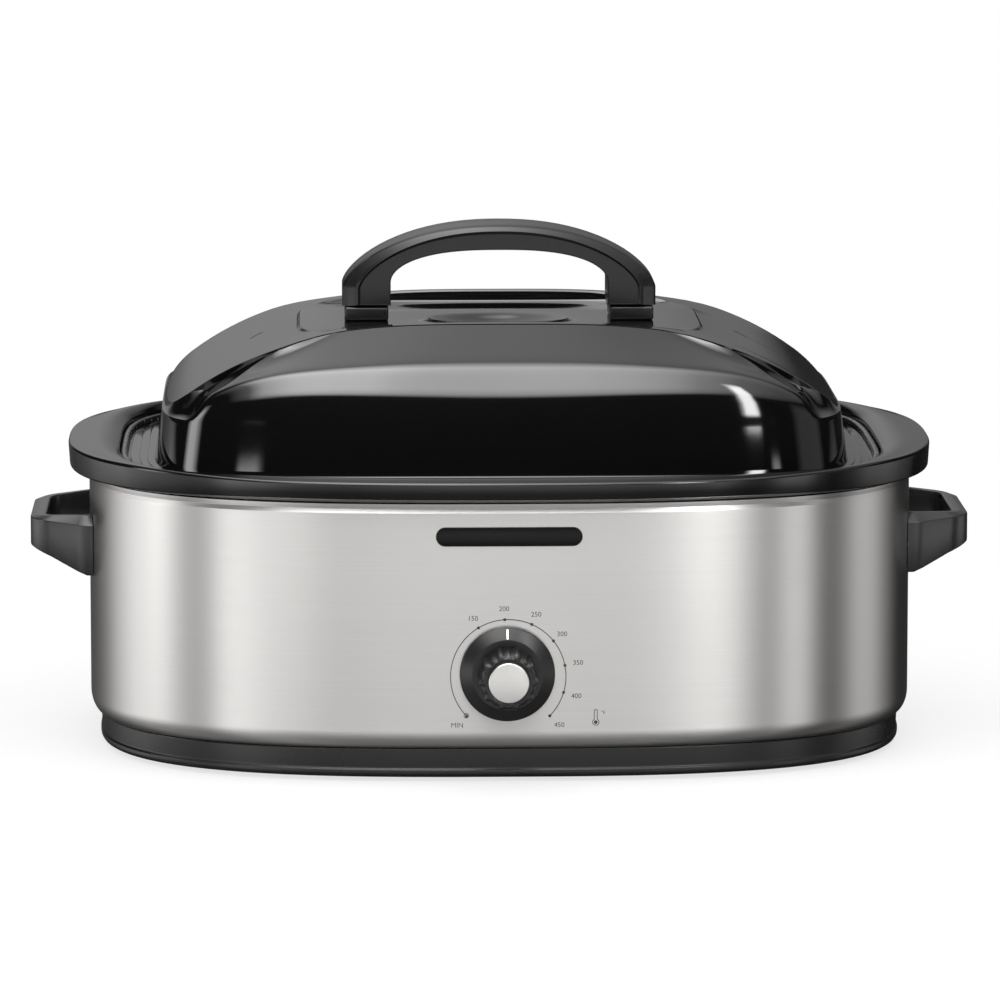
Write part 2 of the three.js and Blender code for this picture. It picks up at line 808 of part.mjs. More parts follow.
function crownRings(shrink) {
  const height = (x, y) => crownHeight(x, y, shrink);
  const panelFloor = lidPanelHeight - shrink;
  const panelEdge = (x, y) => Math.max(height(x, y), panelFloor);
  const edge = ring(lidHalfWidth - lidLean - shrink, lidHalfDepth - lidLean - shrink, lidSquareness, height);
  const crease = ring(lidCreaseHalfWidth, lidCreaseHalfDepth, lidSquareness * 2, height);
  return [
    ...lidFlankShares.map((share) => blendRings(edge, crease, share, height)),
    crease,
    ring(lidPanelHalfWidth + lidPanelSlope + shrink, lidPanelHalfDepth + lidPanelSlope + shrink,
      lidSquareness, height),
    ring(lidPanelHalfWidth + shrink, lidPanelHalfDepth + shrink, lidSquareness, panelEdge),
    ring(lidPanelHalfWidth - lidPanelSlope + shrink, lidPanelHalfDepth - lidPanelSlope + shrink,
      lidSquareness, panelFloor),
    ring(lidDishHalfWidth + shrink, lidDishHalfDepth + shrink, 2, panelFloor),
    ...lidDishShares.map((share) => ring(lidDishHalfWidth * share, lidDishHalfDepth * share, 2,
      panelFloor - lidDishDepth * (1 - share ** 2))),
  ];
}

function lidShell() {
  const wallRing = (offset, height) => (
    ring(lidHalfWidth + offset, lidHalfDepth + offset, lidSquareness, height));
  const flangeRing = (share, offset, height) => ring(
    lidHalfWidth + lidFlangeSide * share + offset,
    lidHalfDepth + lidFlangeFront * share + offset,
    lidSquareness + (rimSquareness - lidSquareness) * share,
    height,
  );
  const step = lidStepWidth / lidFlangeSide;
  const bottom = lidFlangeBottom;
  const skin = loft([
    ...crownRings(lidWall).reverse(),
    wallRing(-lidWall, lidWallBottom - lidWall),
    flangeRing(step, -lidWall, lidWallBottom - lidWall),
    flangeRing(step, -lidWall, bottom + lidStepRise),
    flangeRing(step * 2, -lidWall, bottom + lidStepRise),
    flangeRing(step * 2, -lidWall, bottom),
    flangeRing(1, 0, bottom),
    flangeRing(1, 0, bottom + lidWall),
    flangeRing(step * 2, 0, bottom + lidWall),
    flangeRing(step * 2, 0, bottom + lidWall + lidStepRise),
    flangeRing(step, 0, bottom + lidWall + lidStepRise),
    flangeRing(step, 0, lidWallBottom),
    wallRing(0, lidWallBottom + lidStepRise / 2),
    ...crownRings(0),
  ]);
  const ventX = lidPanelHalfWidth + (lidCreaseHalfWidth - lidPanelHalfWidth) * ventShare;
  const vents = [-1, 1].map((side) => {
    const slot = box(ventWidth, ventLength, lidCrownRise, 0, 0, lidShoulderHeight);
    slot.rotateZ((side * Math.PI) / 3);
    slot.translate(side * ventX, 0, 0);
    return slot;
  });
  const screwHoles = [-1, 1].map((side) => upright(screwRadius + fitGap, lidPanelHeight - cutOverrun * 3,
    lidPanelHeight + cutOverrun, (side * screwSpacing) / 2));
  return cut(skin, ...vents, ...screwHoles);
}

// Lid handle: an arched grip on two feet, each on a spacer, held by a screw from inside the lid

const spacerBottom = lidPanelHeight + fitGap;
const handleFoot = spacerBottom + spacerHeight + fitGap;
const handleShoulder = handleFoot + handleShoulderRise;
const handleTop = handleFoot + handleRise;
const handleGapSpring = handleFoot + handleGapSpringRise;
const handleGapTop = handleTop - handleThickness;

function lidHandle() {
  const outline = new THREE.Shape();
  const archSteps = 14;
  const half = handleHalfSpan - handleEdge;
  const gapHalf = handleGapHalfWidth + handleEdge;
  const bottom = handleFoot + handleEdge;
  const topRise = handleTop - handleEdge - handleShoulder;
  const gapRise = handleGapTop + handleEdge - handleGapSpring;
  outline.moveTo(-half, bottom);
  for (let step = 0; step <= archSteps; step += 1) {
    const x = -Math.cos((step * Math.PI) / archSteps);
    const rise = (1 - Math.abs(x) ** handleArchPowers[0]) ** handleArchPowers[1];
    outline.lineTo(x * half, handleShoulder + topRise * rise);
  }
  outline.lineTo(half, bottom);
  outline.lineTo(gapHalf, bottom);
  for (let step = 0; step <= archSteps; step += 1) {
    const x = Math.cos((step * Math.PI) / archSteps);
    const rise = (1 - Math.abs(x) ** gapArchPowers[0]) ** gapArchPowers[1];
    outline.lineTo(x * gapHalf, handleGapSpring + gapRise * rise);
  }
  outline.lineTo(-gapHalf, bottom);
  outline.closePath();
  const grip = new THREE.ExtrudeGeometry(outline, {
    depth: handleDepth - 2 * handleEdge,
    bevelEnabled: true,
    bevelSize: handleEdge,
    bevelThickness: handleEdge,
    bevelSegments: 2,
    curveSegments: 1,
  });
  grip.rotateX(Math.PI / 2);
  grip.translate(0, handleDepth / 2 - handleEdge, 0);
  const pilots = [-1, 1].map((side) => upright(screwRadius + fitGap, handleFoot - cutOverrun,
    lidPanelHeight + lidScrewLength, (side * screwSpacing) / 2));
  return cut(grip, ...pilots);
}

function handleSpacer() {
  const width = handleHalfSpan - handleGapHalfWidth - 2 * spacerInset;
  const depth = handleDepth - 2 * spacerInset;
  const outline = new THREE.Shape();
  const round = spacerInset * 2;
  outline.moveTo(-width / 2 + round, -depth / 2);
  outline.lineTo(width / 2 - round, -depth / 2);
  outline.absarc(width / 2 - round, -depth / 2 + round, round, -Math.PI / 2, 0);
  outline.lineTo(width / 2, depth / 2 - round);
  outline.absarc(width / 2 - round, depth / 2 - round, round, 0, Math.PI / 2);
  outline.lineTo(-width / 2 + round, depth / 2);
  outline.absarc(-width / 2 + round, depth / 2 - round, round, Math.PI / 2, Math.PI);
  outline.lineTo(-width / 2, -depth / 2 + round);
  outline.absarc(-width / 2 + round, -depth / 2 + round, round, Math.PI, 1.5 * Math.PI);
  const block = new THREE.ExtrudeGeometry(outline, {
    depth: spacerHeight,
    bevelEnabled: false,
    curveSegments: 4,
  });
  return cut(block, upright(screwRadius + fitGap, -cutOverrun, spacerHeight + cutOverrun));
}

// Side handle: a loop of plastic whose arms end on the body wrap

const gripOuter = wrapHalfWidth + gripReach;
const gripWasherSeat = outlineWidth(gripScrewY + washerRadius, -wrapWall) - fitGap;
const gripScrewSeat = gripWasherSeat - washerThickness - fitGap;

function sideHandle() {
  const root = wrapHalfWidth - gripReach;
  const flat = (points) => points.map(([x, y]) => new THREE.Vector2(x, y));
  const outline = new THREE.Shape(flat([
    [root, -gripHalfLengthInner],
    [wrapHalfWidth, -gripHalfLengthInner],
    [gripOuter - gripCorner, -gripHalfLengthOuter - gripCorner / 2],
    [gripOuter - gripCorner / 4, -gripHalfLengthOuter],
    [gripOuter, -gripHalfLengthOuter + gripCorner],
    [gripOuter, gripHalfLengthOuter - gripCorner],
    [gripOuter - gripCorner / 4, gripHalfLengthOuter],
    [gripOuter - gripCorner, gripHalfLengthOuter + gripCorner / 2],
    [wrapHalfWidth, gripHalfLengthInner],
    [root, gripHalfLengthInner],
  ]));
  const inner = gripHalfLengthInner - gripArmThickness;
  const innerOuter = gripHalfLengthOuter + gripCorner / 2 - gripArmThickness;
  const barInside = gripOuter - gripBarThickness;
  outline.holes.push(new THREE.Path(flat([
    [root - cutOverrun, -inner],
    [wrapHalfWidth, -inner],
    [barInside - gripCorner / 2, -innerOuter],
    [barInside, -innerOuter + gripCorner / 2],
    [barInside, innerOuter - gripCorner / 2],
    [barInside - gripCorner / 2, innerOuter],
    [wrapHalfWidth, inner],
    [root - cutOverrun, inner],
  ]).map((point) => new THREE.Vector2(Math.max(point.x, root + cutOverrun), point.y))));
  const loop = new THREE.ExtrudeGeometry(outline, { depth: 1, bevelEnabled: false });
  const spots = loop.attributes.position;
  for (let index = 0; index < spots.count; index += 1) {
    const share = (spots.getX(index) - wrapHalfWidth) / gripReach;
    const top = gripRootTop + (gripBarTop - gripRootTop) * share;
    const bottom = gripRootBottom + (gripBarBottom - gripRootBottom) * share;
    spots.setZ(index, bottom + (top - bottom) * spots.getZ(index));
  }
  const clearance = loft([bodyRing(fitGap, wrapBottom), bodyRing(fitGap, wrapTop)]);
  const pilots = [-1, 1].map((side) => alongX(screwRadius + fitGap, wrapHalfWidth - gripReach,
    gripScrewSeat + gripScrewLength, side * gripScrewY, gripScrewHeight));
  return cut(loop, clearance, ...pilots);
}

// Control knob, its cap and the shaft that it turns

const knobBack = -wrapHalfDepth - knobStandOff;
const knobFace = knobBack - knobSkirtThickness - knobSkirtCone - knobGripLength + knobCapSink;
const nutPocketRadius = nutWidth / Math.sqrt(3) + knobNutPocketGap;
const nutPocketDepth = nutThickness + fitGap + knobNutPocketGap;

function controlKnob() {
  const skirtProfile = [
    [0, 0],
    [knobSkirtRadius, 0],
    [knobSkirtRadius, knobSkirtThickness],
    [knobGripRadius + knobSkirtCone, knobSkirtThickness + knobSkirtCone],
    [0, knobSkirtThickness + knobSkirtCone],
  ].map(([radius, height]) => new THREE.Vector2(radius, height));
  const skirt = new THREE.LatheGeometry(skirtProfile, outlineSides / 2);
  const lobes = new THREE.Shape();
  const lobePoints = knobLobes * 6;
  for (let index = 0; index < lobePoints; index += 1) {
    const angle = (2 * Math.PI * index) / lobePoints;
    const radius = knobGripRadius - knobGripEdge + knobLobeDepth * Math.cos(knobLobes * angle);
    const spot = [radius * Math.cos(angle), radius * Math.sin(angle)];
    if (index === 0) lobes.moveTo(...spot);
    else lobes.lineTo(...spot);
  }
  lobes.closePath();
  const grip = new THREE.ExtrudeGeometry(lobes, {
    depth: knobGripLength + knobSkirtCone - 2 * knobGripEdge,
    bevelEnabled: true,
    bevelSize: knobGripEdge,
    bevelThickness: knobGripEdge,
    bevelSegments: 1,
  });
  grip.rotateX(Math.PI / 2);
  grip.translate(0, knobBack - knobSkirtThickness - knobGripEdge, knobHeight);
  skirt.scale(1, -1, 1);
  const turned = outwardOf(skirt);
  turned.translate(0, knobBack, knobHeight);
  const tip = knobBack - knobSkirtThickness - knobSkirtCone - knobGripLength;
  const pocket = alongY(nutPocketRadius, knobBack + cutOverrun, knobBack - nutPocketDepth,
    0, knobHeight);
  const bore = alongY(shaftRadius + fitGap, knobBack + cutOverrun, knobBack - nutPocketDepth - shaftGrip,
    0, knobHeight);
  const capSeat = alongY(knobCapRadius + fitGap, tip - cutOverrun, tip + knobCapSink, 0, knobHeight);
  return cut(join(turned, grip), pocket, bore, capSeat);
}

// Mirrored geometry has its faces turned back to point out
function outwardOf(geometry) {
  const merged = closedSurface(geometry);
  return outward([...merged.attributes.position.array], [...merged.index.array]);
}

function knobCap() {
  const profile = [
    [0, 0],
    [knobCapRadius, 0],
    [knobCapRadius, knobCapThickness - knobCapEdge],
    [knobCapRadius - knobCapEdge, knobCapThickness],
    [0, knobCapThickness],
  ].map(([radius, height]) => new THREE.Vector2(radius, height));
  const cap = new THREE.LatheGeometry(profile, outlineSides / 2);
  cap.rotateX(Math.PI);
  cap.translate(0, knobFace - fitGap, knobHeight);
  return cap;
}

const shaftTip = knobBack - nutPocketDepth - shaftGrip + fitGap;

function thermostatShaft() {
  return alongY(shaftRadius, shaftTip, shaftTip + shaftLength, 0, knobHeight);
}

// Thermostat behind the front of the wrap

const thermoFront = -wrapHalfDepth + wrapWall + thermoSetback;
const thermoRear = thermoFront + thermoDepth;

function thermostatBody() {
  const casing = box(thermoWidth, thermoDepth, thermoWidth, 0, thermoFront + thermoDepth / 2,
    knobHeight - thermoWidth / 2);
  const bushTip = thermoFront - bushLength;
  const bush = alongY(bushRadius, bushTip, thermoFront + thermoDepth / 2, 0, knobHeight);
  const bore = alongY(shaftRadius + bushBoreGap, bushTip - cutOverrun, shaftTip + shaftLength + fitGap,
    0, knobHeight);
  return cut(join(casing, bush), bore);
}

function thermostatNut() {
  const outer = -wrapHalfDepth - fitGap;
  const nut = alongY(nutWidth / Math.sqrt(3), outer - nutThickness, outer, 0, knobHeight, 6);
  return cut(nut, alongY(bushRadius + fitGap, outer - nutThickness - cutOverrun, outer + cutOverrun,
    0, knobHeight));
}

const sensorFace = -wellRing(knobHeight + sensorPadHeight / 2).halfDepth - fitGap;

function sensorPad() {
  const pad = box(sensorPadWidth, sensorPadThickness, sensorPadHeight, 0,
    sensorFace - sensorPadThickness / 2, knobHeight - sensorPadHeight / 2);
  const stem = alongY(sensorRadius, thermoRear + fitGap, sensorFace - sensorPadThickness / 2,
    0, knobHeight);
  return join(pad, stem);
}

function thermostatBracket() {
  const top = knobHeight - thermoWidth / 2 - fitGap;
  const plate = box(bracketWidth, bracketReach, bracketThickness, 0, thermoFront + bracketReach / 2,
    top - bracketThickness);
  const leg = box(bracketWidth, bracketThickness, top - trayTop - fitGap, 0,
    thermoFront + bracketReach - bracketThickness / 2, trayTop + fitGap);
  return join(plate, leg);
}

// Wiring pieces

function terminalBlock() {
  const y = wrapHalfDepth - wrapCurl - wrapWall - trayLipWall - blockSetback - blockDepth / 2;
  const block = box(blockWidth, blockDepth, blockHeight, glandOffset, y, trayTop + fitGap);
  const wells = [-1, 0, 1].map((place) => upright(blockDepth / 5, trayTop + blockHeight / 2,
    trayTop + blockHeight + cutOverrun, glandOffset + (place * blockWidth) / 3, y, 12));
  return cut(block, ...wells);
}

function cordGland() {
  const wall = outlineDepth(glandOffset + glandFlangeRadius);
  const sag = outlineDepth(glandOffset - glandFlangeRadius) - wall;
  const outer = wall + sag + fitGap;
  const inner = wall - wrapWall - fitGap;
  const collar = alongY(glandFlangeRadius, outer, outer + glandFlange, glandOffset, glandHeight);
  const sleeve = alongY(glandRadius, inner - glandFlange, outer + glandFlange / 2, glandOffset, glandHeight);
  const ridge = alongY(glandRidgeRadius, inner - glandFlange, inner, glandOffset, glandHeight);
  const bore = alongY(glandBore, inner - glandFlange - cutOverrun, outer + glandFlange + cutOverrun,
    glandOffset, glandHeight);
  return cut(join(collar, sleeve, ridge), bore);
}

// Blank badge, bent to the front of the body

function blankBadge() {
  const outline = new THREE.Shape();
  const round = badgeWidth / 2;
  const reach = badgeLength / 2 - round;
  outline.moveTo(-reach, -round);
  const columns = 6;
  for (let column = 1; column <= columns; column += 1) {
    outline.lineTo(-reach + (2 * reach * column) / columns, -round);
  }
  outline.absarc(reach, 0, round, -Math.PI / 2, Math.PI / 2);
  for (let column = columns; column >= 0; column -= 1) {
    outline.lineTo(-reach + (2 * reach * column) / columns, round);
  }
  outline.absarc(-reach, 0, round, Math.PI / 2, 1.5 * Math.PI);
  const plate = new THREE.ExtrudeGeometry(outline, {
    depth: badgeThickness,
    bevelEnabled: false,
    curveSegments: 6,
  });
  plate.rotateX(Math.PI / 2);
  const spots = plate.attributes.position;
  for (let index = 0; index < spots.count; index += 1) {
    const x = spots.getX(index);
    spots.setY(index, spots.getY(index) - outlineDepth(x) - fitGap);
  }
  plate.translate(0, 0, badgeHeight);
  return plate;
}

// Assembly

// The knob stands out in front, so the whole is moved back until its footprint is centred
const knobCapFront = knobFace - fitGap - knobCapThickness;
const roaster = new THREE.Group();
roaster.name = 'roaster_oven';
roaster.position.y = -(knobCapFront + rimOuterDepth) / 2;

function place(name, geometry, finish, { position = [0, 0, 0], rotation = [0, 0, 0] } = {}) {
  const mesh = new THREE.Mesh(geometry, new THREE.MeshStandardMaterial(finishes[finish]));
  mesh.name = name;
  mesh.position.set(...position);
  mesh.rotation.set(...rotation);
  roaster.add(mesh);
}

place('base_tray', baseTray(), 'blackPlastic');
corners.forEach(([corner, sideX, sideY]) => {
  place(`foot_${corner}`, foot(), 'softRubber', { position: [sideX * footX, sideY * footY, 0] });
  place(`base_screw_${corner}`, panScrew(baseScrewLength), 'bareSteel', {
    position: [sideX * bossX, sideY * bossY, footHeight],
  });
});
place('body_wrap', bodyWrap(), 'brushedSteel');
place('rim_collar', rimCollar(), 'blackEnamel');
place('inner_well', innerWell(), 'aluminium');
place('heater_band_lower', heaterBand(lowerBandHeight), 'heaterFoil');
place('heater_band_upper', heaterBand(upperBandHeight), 'heaterFoil');
place('insulation_blanket', insulationBlanket(), 'insulation');
place('heat_shield', heatShield(), 'aluminium');
place('centre_tie', centreTie(), 'bareSteel');
place('tie_nut', tieNut(), 'bareSteel');
place('thermostat_body', thermostatBody(), 'ceramic');
place('thermostat_nut', thermostatNut(), 'bareSteel');
place('thermostat_bracket', thermostatBracket(), 'bareSteel');
place('sensor_pad', sensorPad(), 'aluminium');
place('terminal_block', terminalBlock(), 'ceramic');
place('cord_gland', cordGland(), 'softRubber');
place('blank_badge', blankBadge(), 'blackPlastic');

[['right', 0, 1], ['left', Math.PI, -1]].forEach(([side, turn, sideX]) => {
  place(`side_handle_${side}`, sideHandle(), 'blackPlastic', { rotation: [0, 0, turn] });
  [['front', -1], ['rear', 1]].forEach(([end, sideY]) => {
    const y = sideY * gripScrewY;
    place(`handle_washer_${end}_${side}`, washer(), 'bareSteel', {
      position: [sideX * gripWasherSeat, y, gripScrewHeight],
      rotation: [0, (-sideX * Math.PI) / 2, 0],
    });
    place(`handle_screw_${end}_${side}`, panScrew(gripScrewLength), 'bareSteel', {
      position: [sideX * gripScrewSeat, y, gripScrewHeight],
      rotation: [0, (sideX * Math.PI) / 2, 0],
    });
  });
});

place('control_knob', controlKnob(), 'blackPlastic');
place('knob_cap', knobCap(), 'brushedSteel');
place('thermostat_shaft', thermostatShaft(), 'bareSteel');

place('insert_pan', insertPan(), 'darkPan');
place('roasting_rack', roastingRack(), 'bareSteel');

place('lid_shell', lidShell(), 'blackEnamel');
place('lid_handle', lidHandle(), 'blackPlastic');
[['left', -1], ['right', 1]].forEach(([side, sideX]) => {
  const x = (sideX * screwSpacing) / 2;
  const under = lidPanelHeight - lidWall;
  place(`lid_spacer_${side}`, handleSpacer(), 'blackPlastic', { position: [x, 0, spacerBottom] });
  place(`lid_washer_${side}`, washer(), 'bareSteel', {
    position: [x, 0, under - fitGap - washerThickness],
  });
  place(`lid_screw_${side}`, panScrew(lidScrewLength - cutOverrun), 'bareSteel', {
    position: [x, 0, under - 2 * fitGap - washerThickness],
  });
});

export default roaster;
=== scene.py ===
import math

import bmesh
import bpy
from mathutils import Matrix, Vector


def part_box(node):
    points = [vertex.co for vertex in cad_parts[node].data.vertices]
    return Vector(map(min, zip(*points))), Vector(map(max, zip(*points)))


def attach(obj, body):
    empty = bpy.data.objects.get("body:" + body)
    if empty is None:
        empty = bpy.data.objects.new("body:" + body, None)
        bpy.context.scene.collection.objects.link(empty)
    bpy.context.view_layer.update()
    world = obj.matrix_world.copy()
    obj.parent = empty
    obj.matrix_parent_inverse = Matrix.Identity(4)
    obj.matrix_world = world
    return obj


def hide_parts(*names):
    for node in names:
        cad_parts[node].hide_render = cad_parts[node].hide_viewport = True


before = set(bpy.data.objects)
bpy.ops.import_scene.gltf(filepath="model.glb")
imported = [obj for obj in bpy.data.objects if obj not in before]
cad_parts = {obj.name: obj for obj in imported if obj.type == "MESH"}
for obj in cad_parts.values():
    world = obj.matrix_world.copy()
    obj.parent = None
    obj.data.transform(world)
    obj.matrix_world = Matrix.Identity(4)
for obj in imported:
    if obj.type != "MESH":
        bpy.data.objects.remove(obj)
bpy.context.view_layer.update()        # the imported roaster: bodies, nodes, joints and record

mm = 0.001

# The body's plan: the middle of the steel wrap is the middle of every outline
wrapLow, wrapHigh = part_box("body_wrap")
middleY = (wrapLow.y + wrapHigh.y) / 2
plan = {
    "halfWidth": 254 * mm,
    "halfDepth": 192 * mm,
    "bodySquareness": 2.85,
    "rimSquareness": 3.7,
    "wellSquareness": 3.8,
    "panSquareness": 4.9,
    "lidSquareness": 5.5,
    "sides": 240,
    "bowlSteps": 7,
}


# Modelling helpers

# Selects these pieces alone, or nothing
def selectOnly(*pieces):
    if bpy.context.object and bpy.context.object.mode != "OBJECT":
        bpy.ops.object.mode_set(mode="OBJECT")
    bpy.ops.object.select_all(action="DESELECT")
    for piece in pieces:
        piece.select_set(True)
    if pieces:
        bpy.context.view_layer.objects.active = pieces[0]


def mix(first, second, share):
    return first + (second - first) * share


# A smooth step from 0 at the start to 1 at the end
def eased(value, start=0, end=1):
    share = min(max((value - start) / (end - start), 0), 1)
    return share * share * (3 - 2 * share)


# Sines and cosines along a quarter circle
def quarterCircle(steps):
    turns = [math.pi / 2 * step / steps for step in range(steps + 1)]
    return [(math.sin(turn), math.cos(turn)) for turn in turns]


# A closed outline with rounded corners, squarer as the squareness grows
def ring(halfWidth, halfDepth, squareness, height, sides=plan["sides"]):
    spots = []
    for side in range(sides):
        turn = 2 * math.pi * (side + 0.5) / sides
        across = abs(math.cos(turn)) ** squareness + abs(math.sin(turn)) ** squareness
        reach = across ** (-1 / squareness)
        x = halfWidth * reach * math.cos(turn)
        y = halfDepth * reach * math.sin(turn)
        z = height(x, y) if callable(height) else height
        spots.append(Vector((x, y + middleY, z)))
    return spots


def between(first, second, share, height):
    spots = []
    for start, end in zip(first, second):
        spot = start.lerp(end, share)
        spot.z = height(spot.x, spot.y - middleY)
        spots.append(spot)
    return spots


def bodyRing(offset, height):
    return ring(plan["halfWidth"] + offset, plan["halfDepth"] + offset, plan["bodySquareness"], height)


def bodyShare(share):
    return (1 - abs(share) ** plan["bodySquareness"]) ** (1 / plan["bodySquareness"])


def bodyDepth(x):
    return plan["halfDepth"] * bodyShare(x / plan["halfWidth"])


def bodyWidth(y):
    return plan["halfWidth"] * bodyShare(y / plan["halfDepth"])


# Rings about a centre from (outwards, along, radius) corners in mm, along a direction in Y or Z
def spunRings(corners, centre, direction, sides, steps):
    spots = rounded([(out * mm, up * mm, radius * mm) for out, up, radius in corners], steps=steps)
    across = direction.cross(Vector((1, 0, 0)))
    rings = []
    for spot in spots:
        turns = [2 * math.pi * side / sides for side in range(sides)]
        rings.append([centre + direction * spot.y + across * spot.x * math.sin(turn)
                      + Vector((spot.x * math.cos(turn), 0, 0)) for turn in turns])
    return rings


# Rounds the corners of a profile, each written as (outwards, upwards, radius)
def rounded(corners, closed=False, steps=4):
    spots = []
    last = len(corners) - 1
    for index, (out, up, radius) in enumerate(corners):
        here = Vector((out, up))
        if radius == 0 or (not closed and index in (0, last)):
            spots.append(here)
            continue
        toBefore = (Vector(corners[index - 1][:2]) - here).normalized()
        toAfter = (Vector(corners[(index + 1) % len(corners)][:2]) - here).normalized()
        half = toBefore.angle(toAfter) / 2
        start = toBefore * radius / math.tan(half)
        end = toAfter * radius / math.tan(half)
        centre = (toBefore + toAfter).normalized() * radius / math.sin(half)
        for step in range(steps + 1):
            arm = (start - centre).lerp(end - centre, step / steps).normalized() * radius
            spots.append(here + centre + arm)
    return spots


# Extrudes a circle of points from ring to ring. The ends are bridged into a hoop, filled or drawn
# to a point
def drawRings(name, rings, ends, smoothAngle=35):
    def closeEnd():
        if ends == "point":
            bpy.ops.mesh.merge(type="CENTER")
        else:
            bpy.ops.mesh.edge_face_add()

    selectOnly()
    bpy.ops.mesh.primitive_circle_add(vertices=len(rings[0]), radius=1, location=(0, 0, 0))
    piece = bpy.context.object
    piece.name = piece.data.name = name
    bpy.ops.object.mode_set(mode="EDIT")
    shape = bmesh.from_edit_mesh(piece.data)
    order = shape.verts.layers.int.new("order")
    for index, vert in enumerate(shape.verts):
        vert[order] = index
    for index, spots in enumerate(rings):
        if index:
            bpy.ops.mesh.extrude_region_move()
        shape = bmesh.from_edit_mesh(piece.data)
        order = shape.verts.layers.int["order"]
        for vert in shape.verts:
            if vert.select:
                vert.co = spots[vert[order]]
    bmesh.update_edit_mesh(piece.data)
    if ends == "hoop":
        bpy.ops.mesh.select_all(action="DESELECT")
        bpy.ops.mesh.select_mode(type="EDGE")
        bpy.ops.mesh.select_non_manifold()
        bpy.ops.mesh.bridge_edge_loops()
    else:
        closeEnd()
        bpy.ops.mesh.select_all(action="DESELECT")
        bpy.ops.mesh.select_non_manifold()
        closeEnd()
    bpy.ops.mesh.select_all(action="SELECT")
    bpy.ops.mesh.normals_make_consistent(inside=False)
    bpy.ops.object.mode_set(mode="OBJECT")
    piece.data.attributes.remove(piece.data.attributes["order"])
    bpy.ops.object.shade_smooth_by_angle(angle=math.radians(smoothAngle))
    return piece


def applyModifier(piece, kind, **settings):
    selectOnly(piece)
    modifier = piece.modifiers.new(kind, kind)
    for setting, value in settings.items():
        setattr(modifier, setting, value)
    bpy.ops.object.modifier_apply(modifier=modifier.name)


# A block with bevelled edges
def bevelledBlock(name, centre, size, turn, edge, steps):
    selectOnly()
    bpy.ops.mesh.primitive_cube_add(size=1, location=centre, rotation=(0, 0, turn))
    block = bpy.context.object
    block.name = name
    block.scale = size
    bpy.ops.object.transform_apply(location=True, rotation=True, scale=True)
    applyModifier(block, "BEVEL", width=edge, segments=steps)
    return block


def joinPieces(pieces, name):
    selectOnly(*pieces)
    bpy.ops.object.join()
    joined = bpy.context.object
    joined.name = joined.data.name = name
    return joined


def finishPiece(piece, body, slot, finish, *nodes):
    piece.data.materials.clear()
    piece.data.materials.append(finish)
    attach(piece, body)
    if nodes:
        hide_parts(*nodes)


# Node recipes: a signal is a socket that can be used in sums

class Signal:
    def __init__(self, recipe, socket):
        self.recipe = recipe
        self.socket = socket

    def maths(self, operation, first, second):
        return self.recipe.node("ShaderNodeMath", {"operation": operation}, {0: first, 1: second})

    def __add__(self, other):
        return self.maths("ADD", self, other)

    def __radd__(self, other):
        return self.maths("ADD", other, self)

    def __sub__(self, other):
        return self.maths("SUBTRACT", self, other)

    def __rsub__(self, other):
        return self.maths("SUBTRACT", other, self)

    def __mul__(self, other):
        return self.maths("MULTIPLY", self, other)

    def __rmul__(self, other):
        return self.maths("MULTIPLY", other, self)


class Recipe:
    def __init__(self, owner):
        owner.use_nodes = True
        self.owner = owner
        self.tree = owner.node_tree

    def node(self, kind, settings=None, inputs=None, output=0):
        made = self.tree.nodes.new(kind)
        for setting, value in (settings or {}).items():
            if setting == "stops":
                self.setStops(made.color_ramp, value)
            else:
                setattr(made, setting, value)
        for socket, value in (inputs or {}).items():
            self.feed(made.inputs[socket], value)
        return Signal(self, made.outputs[output])

    def feed(self, socket, value):
        if isinstance(value, Signal):
            self.tree.links.new(value.socket, socket)
        else:
            socket.default_value = value

    def setStops(self, ramp, stops):
        while len(ramp.elements) > 1:
            ramp.elements.remove(ramp.elements[0])
        ramp.elements[0].position = stops[0][0]
        ramp.elements[0].color = colour(stops[0][1])
        for position, value in stops[1:]:
            ramp.elements.new(position).color = colour(value)

    def noise(self, scale, detail=2.0, roughness=0.5, stretch=(1, 1, 1)):
        spots = self.node("ShaderNodeTexCoord", output="Object")
        placed = self.node("ShaderNodeMapping", {}, {"Vector": spots, "Scale": stretch})
        return self.node("ShaderNodeTexNoise", {}, {
            "Vector": placed, "Scale": scale, "Detail": detail, "Roughness": roughness})

    def ramp(self, factor, stops):
        return self.node("ShaderNodeValToRGB", {"stops": stops}, {"Fac": factor})

    def blend(self, factor, first, second):
        return self.node("ShaderNodeMix", {"data_type": "RGBA"}, {
            "Factor": factor, 6: colour(first), 7: colour(second)}, "Result")

    def bump(self, height, distance, strength=1.0):
        return self.node("ShaderNodeBump", {}, {
            "Height": height, "Distance": distance, "Strength": strength})

    def surface(self, values):
        shader = self.tree.nodes["Principled BSDF"]
        for socket, value in values.items():
            self.feed(shader.inputs[socket], value)
        return self.owner


def colour(value):
    if isinstance(value, Signal):
        return value
    if isinstance(value, (int, float)):
        return (value, value, value, 1)
    return (*value[:3], 1)


def newFinish(name):
    return Recipe(bpy.data.materials.new(name))


# Finishes

steelLook = {
    "pale": (0.76, 0.745, 0.73),
    "deep": (0.66, 0.645, 0.63),
    "roughness": 0.27,
    "wear": 0.12,
    "grainScale": 9.0,
    "grainStretch": (1, 1, 130),
    "grainDepth": 0.02 * mm,
    "grainStrength": 0.35,
    "cloudScale": 3.5,
    "cloudShare": 0.2,
    "anisotropy": 0.7,
    "anisotropyTurn": 0.25,
}


